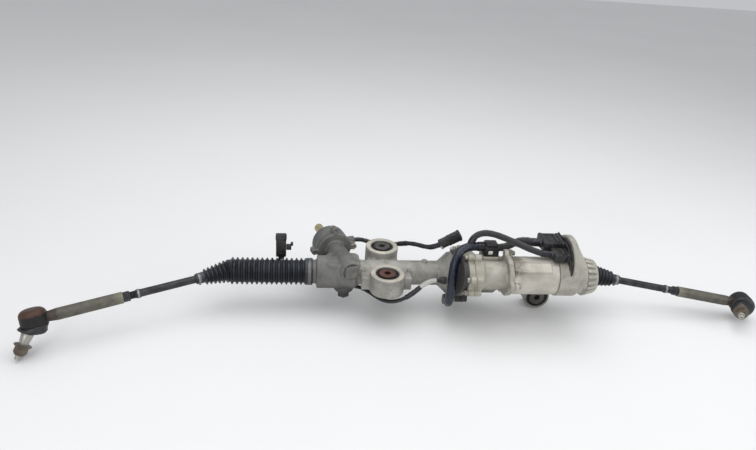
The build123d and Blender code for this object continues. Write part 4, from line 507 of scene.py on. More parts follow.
def block(size, place, rounding=1.0, segments=2):
    """bmesh of a rounded block, sizes in mm, centred on place."""
    bm = bmesh.new()
    bmesh.ops.create_cube(bm, size=1.0)
    bmesh.ops.scale(bm, vec=Vector(size) * MM, verts=bm.verts[:])
    if rounding:
        bmesh.ops.bevel(
            bm,
            geom=bm.edges[:],
            offset=rounding * MM,
            affect="EDGES",
            segments=segments,
            profile=0.5,
            material=-1,
        )
    bmesh.ops.transform(bm, matrix=place, verts=bm.verts[:])
    return bm


def hex_bar(flats, length, place, rounding=0.6):
    """bmesh of a hexagonal nut or bolt head with softened corners, sizes in mm, standing on place."""
    bm = bmesh.new()
    radius = flats / math.sqrt(3) * MM
    bmesh.ops.create_cone(
        bm, cap_ends=True, segments=6, radius1=radius, radius2=radius, depth=length * MM
    )
    bmesh.ops.translate(bm, vec=(0, 0, length * MM / 2), verts=bm.verts[:])
    bmesh.ops.bevel(
        bm, geom=bm.edges[:], offset=rounding * MM, affect="EDGES", segments=2, profile=0.5, material=-1
    )
    bmesh.ops.transform(bm, matrix=place, verts=bm.verts[:])
    return bm


def join(*parts):
    """One bmesh of several."""
    whole = bmesh.new()
    for part in parts:
        mesh = bpy.data.meshes.new("part")
        part.to_mesh(mesh)
        part.free()
        whole.from_mesh(mesh)
        bpy.data.meshes.remove(mesh)
    return whole


def copy_of(node):
    """bmesh of a CAD node, its doubles merged."""
    bm = bmesh.new()
    bm.from_mesh(nodes[node].data)
    bmesh.ops.remove_doubles(bm, verts=bm.verts[:], dist=1e-6)
    return bm


def cast_mesh(name, bm, voxel, rounds):
    """Flows joined shapes into one casting: remeshed, then smoothed so that every corner has a fillet."""
    source = bpy.data.objects.new(name, to_mesh(bm, name))
    bpy.context.scene.collection.objects.link(source)
    remesh = source.modifiers.new("cast", "REMESH")
    remesh.mode = "VOXEL"
    remesh.voxel_size = voxel * MM
    smooth = source.modifiers.new("fillets", "SMOOTH")
    smooth.iterations = rounds
    smooth.factor = 0.5
    bpy.context.view_layer.update()
    result = bpy.data.meshes.new_from_object(source.evaluated_get(bpy.context.evaluated_depsgraph_get()))
    bpy.data.objects.remove(source)
    result.name = name
    return result


# ---- castings ---------------------------------------------------------------------------------
def pinion_ring(s):
    """Place square to the pinion, at a distance in mm behind the rack."""
    return facing(PINION + PINION_DIRECTION * s * MM, PINION_DIRECTION)


def rib(start, end, height, width, root):
    """Thin upright wall from start to end, reaching from root up to height, in mm."""
    bm = bmesh.new()
    start = Vector((*start, 0))
    end = Vector((*end, 0))
    side = (end - start).normalized().cross(Vector((0, 0, 1))) * width / 2
    corners = [spot + offset for spot in (start, end) for offset in (side, -side)]
    lower = [bm.verts.new((c.x * MM, c.y * MM, root * MM)) for c in corners]
    upper = [bm.verts.new((c.x * MM, c.y * MM, height * MM)) for c in corners]
    bmesh.ops.convex_hull(bm, input=lower + upper)
    return bm


def pinion_casting():
    """Pinion housing: rack tube, pinion and yoke cases, both bush rings, webs, ribs and lugs."""
    parts = [copy_of("pinion_housing")]
    for x in (-20, 20):
        parts.append(rib((x, 60), (x, 84), 16, 5, -8))
    parts.append(rib((-50, 34), (-36, 20), 20, 7, -8))
    parts.append(rib((50, 34), (36, 20), 20, 7, -8))
    mesh = cast_mesh("pinion_casting", join(*parts), voxel=1.7, rounds=7)
    return add_piece(
        "pinion_casting",
        mesh,
        "pinion_casting",
        "housing",
        ["pinion_housing"],
        smooth=None,
    )


def node_casting(node, finish, voxel):
    """A CAD casting with its corners flowed into fillets."""
    mesh = cast_mesh(node + "_skin", copy_of(node), voxel=voxel, rounds=3)
    add_piece(node + "_skin", mesh, finish, "housing", [node], smooth=None)


pinion_casting()
for casting, finish, voxel in (
    ("belt_cover", "stained", 1.5),
    ("gear_case", "stained", 1.6),
    ("rack_tube", "casting", 1.5),
    ("sensor_housing", "sensor", 1.2),
    ("motor_housing", "motor", 1.5),
    ("control_unit_case", "unit", 1.5),
    ("control_unit_cover", "unit", 1.2),
):
    node_casting(casting, finish, voxel)


# ---- carried-over nodes -----------------------------------------------------------------------
NODE_FINISH = {
    "steel": (
        "bearings", "yoke_spring", "rack_bar", "ball_nut", "motor_rotor", "motor_pulley", "nut_pulley"
    ),
    "rubber": ("input_seal", "drive_belt"),
    "grey_sleeve": ("harness_brackets",),
    "plastic": ("rack_yoke", "rack_bushes", "left_inner_seat", "right_inner_seat"),
    "navy": ("circuit_board", "left_outer_seat", "right_outer_seat"),
    "rod": ("inner_sockets", "motor_stator", "torque_sensor_coil"),
}
for finish, members in NODE_FINISH.items():
    for node in members:
        nodes[node].data.materials.clear()
        nodes[node].data.materials.append(FINISH[finish])


# ---- bellows ----------------------------------------------------------------------------------
def fold_profile(start, length, folds, peak, valley, steps=6, sharpness=1.6):
    """Outer line of a folded skin: narrow crests and rounder valleys, in mm."""
    points = []
    for index in range(folds * steps + 1):
        wave = 0.5 - 0.5 * math.cos(math.tau * index / steps)
        points.append(
            (start + length * index / (folds * steps), valley + (peak - valley) * wave**sharpness)
        )
    return points


def skin_of(outer, thickness):
    """Closed profile of a skin from its outer line."""
    inner = [(along, radius - thickness) for along, radius in reversed(outer)]
    return outer + inner + outer[:1]


def bellows(side):
    """Large bellows on the housing collar, and its nose, whose folds get smaller along the rod."""
    layout = SIDES[side]
    outward = layout["outward"]
    cuff_x = -157 if side == "left" else 397
    reach = abs(layout["pivot"].x / MM - cuff_x)
    place = facing((cuff_x * MM, RACK_Y, 0), (outward, 0, 0))
    rim = [
        (-13, 26.3), (-12.2, 26.9), (-9.4, 26.9), (-9, 26.3), (-4, 26.3), (-3.6, 26.9), (1.5, 26.9),
        (3.5, 24.6),
    ]
    steps = 8 if side == "left" else 4
    folds = fold_profile(5, reach - 5, 15, 27.4, 22.4, steps)
    mesh = to_mesh(lathe(skin_of(rim + folds, 1.8), place, 96), f"{side}_bellows_skin")
    carrier = "housing" if side == "left" else None
    skin = add_piece(
        f"{side}_bellows_skin",
        mesh,
        "bellows",
        carrier,
        [f"{side}_bellows"],
        math.radians(60),
    )
    if side == "left":
        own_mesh(skin)
    else:
        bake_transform(skin)

    shoulder = [
        (22.4 * math.sin(math.radians(turn)), 22.2 * math.cos(math.radians(turn)))
        for turn in range(-8, 16, 8)
    ]
    nose = [
        (along, radius - NOSE_TAPER * (along - 5))
        for along, radius in fold_profile(5, 48, 6, 23.4, 18.6, 8)
    ]
    tip = [(54.5, 11.2), (56, 10.9), (60.5, 10.9), (61, 10.4), (67, 10.4), (68, 10.0)]
    rod = facing(layout["pivot"], layout["along"])
    add_piece(
        f"{side}_nose_skin",
        lathe(skin_of(shoulder + nose + tip, 1.4), rod, 72),
        "bellows",
        f"{side}_tie_rod",
        [f"{side}_bellows_nose"],
        math.radians(60),
    )


for side in SIDES:
    bellows(side)


# ---- cords ------------------------------------------------------------------------------------
def cord_line(route, steps=8):
    """Points along the smooth line of a cord, read from its curve."""
    curve = bpy.data.curves.new("line", "CURVE")
    curve.dimensions = "3D"
    spline = curve.splines.new("NURBS")
    spline.points.add(len(route) - 1)
    for point, spot in zip(spline.points, route):
        point.co = (*spot, 1)
    spline.order_u = 3
    spline.use_endpoint_u = True
    curve.resolution_u = steps
    holder = bpy.data.objects.new("line", curve)
    bpy.context.scene.collection.objects.link(holder)
    bpy.context.view_layer.update()
    mesh = bpy.data.meshes.new_from_object(holder)
    points = [vert.co.copy() for vert in mesh.vertices]
    bpy.data.objects.remove(holder)
    bpy.data.meshes.remove(mesh)
    return points


def between(points, start, end):
    """The stretch of a line between two shares of its length."""
    runs = [0.0]
    for first, second in zip(points, points[1:]):
        runs.append(runs[-1] + (second - first).length)
    low, high = start * runs[-1], end * runs[-1]

    def at(reach):
        for index in range(1, len(points)):
            if runs[index] >= reach:
                share = (reach - runs[index - 1]) / max(runs[index] - runs[index - 1], 1e-9)
                return points[index - 1].lerp(points[index], share)
        return points[-1].copy()

    inside = [point for point, run in zip(points, runs) if low < run < high]
    return [at(low)] + inside + [at(high)]


def cord_skin(points, radius_at, segments=24):
    """bmesh of a closed round cord along points; its map runs round the cord and along it, in girths."""
    bm = bmesh.new()
    layer = bm.loops.layers.uv.new("cord")
    spots = {}
    rings = []
    side = Vector((0, 0, 1))
    run = 0.0
    for index, point in enumerate(points):
        before = points[max(index - 1, 0)]
        after = points[min(index + 1, len(points) - 1)]
        if index:
            run += (point - points[index - 1]).length
        place = facing(point, after - before, side)
        side = place.to_3x3() @ Vector((1, 0, 0))
        radius = radius_at(run)
        made = bmesh.ops.create_circle(bm, segments=segments, radius=radius, matrix=place)
        ring = made["verts"]
        for step, vert in enumerate(ring):
            spots[vert] = (step / segments, run)
        rings.append({edge for vert in ring for edge in vert.link_edges})
    girth = math.tau * radius_at(run / 2)
    for first, second in zip(rings, rings[1:]):
        bmesh.ops.bridge_loops(bm, edges=list(first | second))
    bmesh.ops.holes_fill(bm, edges=[edge for edge in bm.edges if edge.is_boundary])
    for face in bm.faces:
        turns = [spots[loop.vert][0] for loop in face.loops]
        seam = max(turns) - min(turns) > 0.5
        for loop, turn in zip(face.loops, turns):
            loop[layer].uv = (turn + 1.0 if seam and turn < 0.5 else turn, spots[loop.vert][1] / girth)
    return bm


def steady(radius):
    return lambda run: radius


CONDUIT_ROUTE = [
    (0.190, 0.025, 0.080), (0.174, 0.025, 0.080), (0.157, 0.022, 0.080), (0.140, 0.011, 0.076),
    (0.129, -0.003, 0.061), (0.126, -0.011, 0.039), (0.126, -0.015, 0.016), (0.126, -0.014, -0.006),
    (0.127, -0.008, -0.024), (0.129, 0.002, -0.037), (0.131, 0.012, -0.0435), (0.131, 0.022, -0.044),
]
FRONT_CABLE_ROUTE = [
    (-0.062, 0.048, -0.030), (-0.053, 0.047, -0.030), (-0.042, 0.038, -0.0285), (-0.030, 0.020, -0.026),
    (-0.017, -0.002, -0.024), (-0.002, -0.017, -0.023), (0.016, -0.020, -0.0215),
    (0.034, -0.017, -0.017),
    (0.052, -0.014, -0.005), (0.068, -0.009, 0.008), (0.082, -0.006, 0.016), (0.094, -0.005, 0.019),
    (0.104, -0.005, 0.019),
]
SENSOR_LOOM_ROUTE = [
    (-0.0558, 0.1554, 0.020), (-0.0444, 0.1591, 0.020), (-0.028, 0.161, 0.015), (-0.009, 0.158, 0.010),
    (0.010, 0.1515, 0.011), (0.028, 0.141, 0.018), (0.044, 0.125, 0.029), (0.057, 0.107, 0.040),
    (0.070, 0.089, 0.047), (0.083, 0.073, 0.051), (0.097, 0.0615, 0.056), (0.110, 0.059, 0.064),
]
INLINE_PLACE = Vector(SENSOR_LOOM_ROUTE[-1])
INLINE_DIRECTION = Vector((0.82, -0.12, 0.56)).normalized()
ARCH_LOOM_ROUTE = [
    (0.163, 0.025, 0.084), (0.166, 0.027, 0.094), (0.175, 0.029, 0.104), (0.190, 0.028, 0.109),
    (0.207, 0.023, 0.109), (0.230, 0.012, 0.105), (0.254, 0.001, 0.0985), (0.278, -0.009, 0.092),
    (0.299, -0.017, 0.088), (0.315, -0.017, 0.088),
]
POWER_LOOM_ROUTE = [
    (0.220, 0.025, 0.078), (0.233, 0.025, 0.078), (0.253, 0.030, 0.087), (0.273, 0.028, 0.094),
    (0.289, 0.021, 0.093), (0.303, 0.021, 0.093),
]


def wavy(radius, depth, pitch):
    """Radius of a lumpy cord, whose wires press through its wrapping."""
    return lambda run: radius - depth * (
        0.5 + 0.5 * math.sin(run / pitch * math.tau) * math.sin(run / pitch * 2.3)
    )


for name, route, radius_at, finish in (
    ("conduit_cover", CONDUIT_ROUTE, wavy(0.0090, 0.0005, 0.011), "conduit"),
    ("front_cable_cover", FRONT_CABLE_ROUTE, steady(0.0038), "tape"),
    ("sensor_loom_cover", SENSOR_LOOM_ROUTE, wavy(0.0050, 0.0006, 0.013), "tape"),
    ("arch_loom_cover", ARCH_LOOM_ROUTE, wavy(0.0065, 0.0004, 0.018), "braid"),
    ("power_loom_cover", POWER_LOOM_ROUTE, wavy(0.0080, 0.0008, 0.012), "braid"),
):
    add_piece(
        name,
        cord_skin(cord_line(route), radius_at),
        finish,
        "housing",
        [name[:-6]],
        smooth=None,
    )

front_line = cord_line(FRONT_CABLE_ROUTE)
for name, start, end, radius, finish in (
    ("front_cable_heat_shrink", 0.63, 0.80, 0.0052, "shrink"),
    ("front_cable_white_sleeve", 0.80, 0.965, 0.0047, "white"),
):
    stretch = between(front_line, start, end)
    add_piece(
        name,
        cord_skin(stretch, wavy(radius, 0.0004, 0.02)),
        finish,
        "housing",
        (),
        math.radians(50),
    )

# tape turns where the looms enter their plugs
for name, route, share, radius in (
    ("arch_loom_end_tape", ARCH_LOOM_ROUTE, (0.88, 0.999), 0.0071),
    ("arch_loom_start_tape", ARCH_LOOM_ROUTE, (0.001, 0.09), 0.0071),
    ("power_loom_end_tape", POWER_LOOM_ROUTE, (0.80, 0.999), 0.0085),
    ("sensor_loom_end_tape", SENSOR_LOOM_ROUTE, (0.90, 0.999), 0.0056),
    ("sensor_loom_middle_tape", SENSOR_LOOM_ROUTE, (0.50, 0.60), 0.0056),
    ("conduit_end_tape", CONDUIT_ROUTE, (0.001, 0.06), 0.0096),
):
    add_piece(
        name,
        cord_skin(between(cord_line(route), *share), wavy(radius, 0.0003, 0.009)),
        "shrink",
        "housing",
        (),
        math.radians(50),
    )


# ---- mount bushes -----------------------------------------------------------------------------
def bush(name, place, length, sleeve_finish):
    """Rubber bush seen from its open end at place, with its steel sleeve; local Z leaves the bore."""
    rubber = [
        (-length + 1, 11.6), (-length + 1, 14), (-length + 5, 17), (-length + 1, 20.5),
        (-length + 0.5, 22.9),
        (-3.2, 22.9), (-2.4, 22.3), (-2.6, 20.6), (-5.5, 19.4), (-6.2, 17.2), (-4.4, 15.4),
        (-3.4, 13.5), (-3.2, 11.6),
    ]
    add_piece(
        name + "_rubber",
        lathe(rubber + rubber[:1], place, 72),
        "rubber",
        "housing",
        ["bush_rubbers"],
    )
    sleeve = [
        (-length - 1.6, 6.2), (-length - 2, 6.8), (-length - 2, 11), (-length - 1.6, 11.5),
        (-2.6, 11.5), (-2.4, 15.6),
        (-1.6, 16.3), (-0.7, 16.3), (-0.2, 15.8), (-0.2, 12.6), (-0.7, 12.1), (-0.7, 9.6), (0, 9.0),
        (0, 6.7), (-0.6, 6.2),
    ]
    parts = [lathe(sleeve + sleeve[:1], place, 72)]
    for step in range(14):
        turn = Matrix.Rotation(math.tau * step / 14, 4, "Z")
        tooth = Matrix.Translation((14.1 * MM, 0, -0.25 * MM))
        parts.append(block((3.0, 1.5, 0.9), place @ turn @ tooth, 0.3, 1))
    add_piece(
        name + "_sleeve", join(*parts), sleeve_finish, "housing", ["bush_sleeves"]
    )


bush("front_bush", facing((0, 0, 0.032), (0, 0, 1)), 40, "red_sleeve")
bush("rear_bush", facing((0, 0.110, 0.032), (0, 0, 1)), 40, "grey_sleeve")
bush("side_bush", facing(SIDE_BUSH, (0, -1, 0)), 41, "grey_sleeve")


# ---- tie rods and ball joints -----------------------------------------------------------------
def threads(start, end, crest, root, pitch):
    """Profile of a screw thread drawn as close ridges, in mm."""
    points = []
    for turn in range(int((end - start) / pitch)):
        reach = start + turn * pitch
        points += [(reach, root), (reach + pitch * 0.5, crest)]
    return points + [(end, root)]


def shell(rings, segments=56):
    """bmesh of a closed skin through circles, each a centre, a direction and a radius in mm."""
    bm = bmesh.new()
    loops = []
    side = Vector((0.3, 0.2, 1))
    for centre, direction, radius in rings:
        place = facing(centre, direction, side)
        side = place.to_3x3() @ Vector((1, 0, 0))
        made = bmesh.ops.create_circle(bm, segments=segments, radius=radius * MM, matrix=place)
        loops.append({edge for vert in made["verts"] for edge in vert.link_edges})
    for first, second in zip(loops, loops[1:] + loops[:1]):
        bmesh.ops.bridge_loops(bm, edges=list(first | second))
    return bm


def tie_rod(side):
    """Inner rod with its ball, neck and threads, its jam nut, and the outer end with the ball case."""
    layout = SIDES[side]
    rod = facing(layout["pivot"], layout["along"])
    turned = [
        (12 * -math.cos(math.radians(a)), 12 * math.sin(math.radians(a))) for a in range(0, 150, 12)
    ]
    profile = turned + [(12, 6), (18, 6), (26, 7.4), (56, 7.4), (57, 6.2), (63, 6.2), (64, 7.4)]
    profile += [(170, 7.4), (171, 8.0), (172, 8.4), (178, 8.4), (179, 7.9), (180, 7.2)]
    profile += threads(180, 211, 7.4, 6.8, 1.5) + [(212, 6.2), (212, 0.0)]
    add_piece(
        f"{side}_rod_bar",
        lathe(profile, rod, 56),
        "rod",
        f"{side}_tie_rod",
        [f"{side}_inner_rod"],
    )
    mark = lathe([(173.2, 8.5), (173.8, 8.9), (176.4, 8.9), (177, 8.5), (173.2, 8.5)], rod, 56)
    add_piece(f"{side}_thread_collar", mark, "dull_clamp", f"{side}_tie_rod", ())
    nut = rod @ Matrix.Translation((0, 0, 190 * MM))
    add_piece(
        f"{side}_lock_nut",
        hex_bar(17, 11.8, nut, 0.9),
        "rod",
        f"{side}_tie_rod",
        [f"{side}_jam_nut"],
        math.radians(30),
    )

    mesh = cast_mesh(f"{side}_rod_end", copy_of(f"{side}_outer_rod"), voxel=1.0, rounds=4)
    add_piece(
        f"{side}_rod_end",
        mesh,
        f"{side}_end",
        f"{side}_tie_rod",
        [f"{side}_outer_rod"],
        smooth=None,
    )

    # dust boot from the case's rim to the stud's neck
    ball, case_axis, stud = layout["ball"], layout["case_axis"], layout["stud"]
    halfway = (case_axis + stud).normalized()
    third = (case_axis * 2 + stud).normalized()
    late = (case_axis + stud * 2).normalized()
    outer = [
        (ball + case_axis * 9.6 * MM, case_axis, 21.0), (ball + case_axis * 9.9 * MM, case_axis, 21.9),
        (ball + case_axis * 11.6 * MM, case_axis, 22.2), (ball + third * 13.2 * MM, third, 21.8),
        (ball + halfway * 15.2 * MM, halfway, 23.0), (ball + halfway * 17.0 * MM, halfway, 23.5),
        (ball + late * 19.4 * MM, late, 22.6), (ball + late * 21.4 * MM, late, 19.6),
        (ball + stud * 22.3 * MM, stud, 15.2), (ball + stud * 22.6 * MM, stud, 12.0),
        (ball + stud * 23.3 * MM, stud, 11.4), (ball + stud * 24.0 * MM, stud, 10.9),
    ]
    inner = [
        (ball + stud * 23.9 * MM, stud, 9.0), (ball + stud * 21.4 * MM, stud, 9.2),
        (ball + stud * 20.4 * MM, stud, 13.0), (ball + late * 18.4 * MM, late, 19.0),
        (ball + halfway * 16.4 * MM, halfway, 21.2), (ball + third * 13.0 * MM, third, 19.6),
        (ball + case_axis * 10.6 * MM, case_axis, 18.8), (ball + case_axis * 9.6 * MM, case_axis, 18.8),
    ]
    boot = add_piece(
        f"{side}_boot",
        shell(outer + inner),
        "boot",
        None,
        [f"{side}_dust_boot"],
        math.radians(70),
    )
    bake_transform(boot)

    # stud with its ball, taper, thread and drive tip, and the flanged nut
    pin = facing(ball, stud)
    sphere = [
        (13 * -math.cos(math.radians(a)), 13 * math.sin(math.radians(a))) for a in range(0, 145, 12)
    ]
    profile = sphere + [(12.5, 7.5), (23.4, 7.5), (24.6, 10.2), (25.4, 10.5), (44.4, 7.8), (45.2, 6.6)]
    profile += threads(45.6, 66, 7.0, 6.3, 1.5) + [
        (66.6, 5.0), (72.2, 5.0), (73, 4.2), (73, 1.6), (70, 1.4), (70, 0)
    ]
    add_piece(
        f"{side}_stud_pin",
        lathe(profile, pin, 56),
        "stud",
        f"{side}_stud",
        [f"{side}_ball_stud"],
        math.radians(30),
    )
    seat = pin @ Matrix.Translation((0, 0, 46 * MM))
    flange = [
        (0.4, 7.1), (0, 8), (0, 14.2), (0.5, 14.9), (1.6, 14.9), (3.4, 12.6), (4.4, 10.6), (4.4, 7.1),
        (0.4, 7.1),
    ]
    crown = [(14, 7.1), (14, 9.6), (16.6, 9.4), (17.6, 8.8), (18, 8.0), (18, 7.1), (14, 7.1)]
    body = hex_bar(20, 13.5, seat @ Matrix.Translation((0, 0, 1.6 * MM)), 0.9)
    add_piece(
        f"{side}_flange_nut",
        join(lathe(flange, seat, 48), body, lathe(crown, seat, 48)),
        "nut",
        f"{side}_stud",
        [f"{side}_stud_nut"],
        math.radians(30),
    )


for side in SIDES:
    tie_rod(side)


# ---- clamps -----------------------------------------------------------------------------------
def band_clamp(name, place, radius, width, finish, body, stands_for):
    """Band with rolled rims, a lapped end and a pinched ear, centred on place."""
    half = width / 2
    rim = [
        (-half, radius), (-half, radius + 0.9), (-half + 0.7, radius + 1.1), (-half + 1.2, radius + 0.7)
    ]
    profile = rim + [(-along, reach) for along, reach in reversed(rim)]
    parts = [lathe(profile + profile[:1], place, 80)]
    for turn, size, lift in (
        (180, (3.4, 7.5, width - 1), 2.0), (168, (1.0, 9, width - 2), 1.3),
        (150, (1.4, 2.5, width - 2), 1.2),
    ):
        spin = Matrix.Rotation(math.radians(turn), 4, "Z")
        parts.append(
            block(size, place @ spin @ Matrix.Translation(((radius + lift) * MM, 0, 0)), 0.45, 2)
        )
    add_piece(name, join(*parts), finish, body, stands_for, math.radians(40))


for side, cuff_x in (("left", -0.1505), ("right", 0.3905)):
    layout = SIDES[side]
    band_clamp(
        f"{side}_large_band",
        facing((cuff_x, RACK_Y, 0), (layout["outward"], 0, 0)),
        26.5,
        6.4,
        "clamp",
        "housing",
        ["large_clamps"],
    )
    place = facing(layout["pivot"] + layout["along"] * 61.5 * MM, layout["along"])
    band_clamp(
        f"{side}_small_band", place, 10.0, 5.0, "dull_clamp", f"{side}_tie_rod", [f"{side}_small_clamp"]
    )


# ---- input shaft, bolts and plugs -------------------------------------------------------------
def input_shaft():
    """Input shaft with its splines and clamp groove."""
    place = pinion_ring(0)
    shaft = [
        (64, 0), (64, 9.4), (135.6, 9.4), (136.4, 7.5), (142, 7.5), (142.6, 9.0), (162, 9.0),
        (163, 8.2), (163, 4.2), (160, 3.8), (160, 0),
    ]
    parts = [lathe(shaft, place, 48)]
    for step in range(24):
        turn = Matrix.Rotation(math.tau * step / 24, 4, "Z")
        parts.append(
            block((1.0, 1.3, 19), place @ turn @ Matrix.Translation((8.9 * MM, 0, 152.6 * MM)), 0.25, 1)
        )
    add_piece("input_splines", join(*parts), "brass", "pinion", (), math.radians(35))


nodes["pinion_shaft"].data.materials.clear()
nodes["pinion_shaft"].data.materials.append(FINISH["brass"])


def across_matrix(x, y=RACK_Y, z=0.0):
    """Place square to the rack: local X on +Y, local Y on +Z, local Z on +X."""
    turn = Matrix(((0, 0, 1), (1, 0, 0), (0, 1, 0)))
    return Matrix.Translation((x, y, z)) @ turn.to_4x4()


def pinion_matrix(s):
    """Place square to the pinion: local X across it, local Y up, local Z behind."""
    side = Vector((-PINION_DIRECTION.y, PINION_DIRECTION.x, 0))
    turn = Matrix((side, Vector((0, 0, 1)), PINION_DIRECTION)).transposed()
    return Matrix.Translation(PINION + PINION_DIRECTION * s * MM) @ turn.to_4x4()


def ring_spots(reach, angles, offset=(0, 0)):
    """Points on a circle, in mm."""
    return [
        (
            offset[0] + reach * math.cos(math.radians(a)), offset[1] + reach * math.sin(math.radians(a))
        ) for a in angles
    ]


def bolt_heads(place, spots, shank, upward=1):
    """Flanged hexagon heads with a dished top, their washers and shanks, standing on place."""
    parts = []
    for x, y in spots:
        seat = place @ Matrix.Translation((x * MM, y * MM, 0))
        if upward < 0:
            seat = seat @ Matrix.Rotation(math.pi, 4, "X")
        head = [(0, 0), (0, 6.2), (0.5, 6.6), (1.2, 6.4), (1.7, 5.4), (1.7, 0)]
        parts.append(lathe(head, seat, 24))
        parts.append(hex_bar(9.2, 4.4, seat @ Matrix.Translation((0, 0, 1.4 * MM)), 0.5))
        parts.append(
            lathe([(5.6, 0), (5.6, 2.6), (6.0, 3.1), (5.6, 3.6), (5.0, 3.6), (5.0, 0)], seat, 20)
        )
        parts.append(lathe([(-shank, 0), (-shank, 2.9), (0, 2.9), (0, 0)], seat, 16))
    return parts


def housing_bolts():
    """All bolts of the sensor, the motor flange and the belt case."""
    offset_y = (MOTOR_Y - RACK_Y) / MM
    case = ring_spots(54, (35, -15, -65, -110, 80)) + ring_spots(
        37, (88, 165, 218), (offset_y, MOTOR_Z / MM)
    )
    parts = bolt_heads(pinion_matrix(72), ring_spots(43, (0, 90, 180, 270)), 12)
    parts += bolt_heads(across_matrix(0.242, MOTOR_Y, MOTOR_Z), ring_spots(43, (60, 180, 292)), 15)
    parts += bolt_heads(across_matrix(0.150), case, 22, -1)
    add_piece(
        "bolt_heads",
        join(*parts),
        "bolt",
        "housing",
        ["housing_bolts"],
        math.radians(30),
    )


def plugs():
    """Square end plug of the pinion case, yoke plug and breather disc."""
    face = pinion_matrix(-40.5)
    parts = [block((25, 25, 4.6), face @ Matrix.Translation((0, 0, 2.3 * MM)), 1.2, 3)]
    parts.append(lathe([(0, 0), (-0.8, 5), (-1.0, 8.5), (-0.4, 9.2), (0.4, 9.2)], face, 40))
    parts.append(lathe([(4, 0), (4, 14.9), (18, 14.9), (18, 0)], face, 48))
    parts.append(hex_bar(22, 15.4, facing((-0.080, RACK_Y, -0.055), (0, 0, 1)), 0.8))
    parts.append(
        lathe([(3, 0), (3, 13.9), (12, 13.9), (12, 0)], facing((-0.080, RACK_Y, -0.043), (0, 0, 1)), 48)
    )
    cap = facing((0.082, RACK_Y, 0.0265), (0, 0, 1))
    parts.append(
        lathe([(0, 0), (0, 6.6), (1.4, 6.6), (2.4, 6.0), (2.6, 4.6), (2.1, 3.8), (2.1, 0)], cap, 40)
    )
    add_piece("end_plugs", join(*parts), "pinion_casting", "housing", ["housing_plugs"])


input_shaft()
housing_bolts()
plugs()


# ---- connectors and junction box --------------------------------------------------------------
def ribbed_plug(place, size, length, ribs=4, rounding=1.4):
    """Connector housing from place along local Z: body, front collar, ribs on both faces and a latch."""
    width, height = size
    parts = [
        block(
            (width - 1.6, height - 1.6, length),
            place @ Matrix.Translation((0, 0, length / 2 * MM)),
            rounding,
            2,
        )
    ]
    collar = place @ Matrix.Translation((0, 0, length * 0.86 * MM))
    parts.append(block((width, height, length * 0.2), collar, rounding, 2))
    for step in range(ribs):
        across = (step + 0.5) / ribs * width - width / 2
        rib_place = place @ Matrix.Translation((across * MM, 0, length * 0.42 * MM))
        parts.append(block((1.3, height, length * 0.6), rib_place, 0.4, 1))
    for face in (-1, 1):
        groove = place @ Matrix.Translation((0, face * (height / 2 - 0.6) * MM, length * 0.16 * MM))
        parts.append(block((width * 0.55, 1.6, 2.2), groove, 0.5, 1))
    latch = place @ Matrix.Translation((0, (height / 2 - 0.4) * MM, length * 0.6 * MM))
    parts.append(block((width * 0.3, 2.2, length * 0.5), latch, 0.6, 2))
    return parts


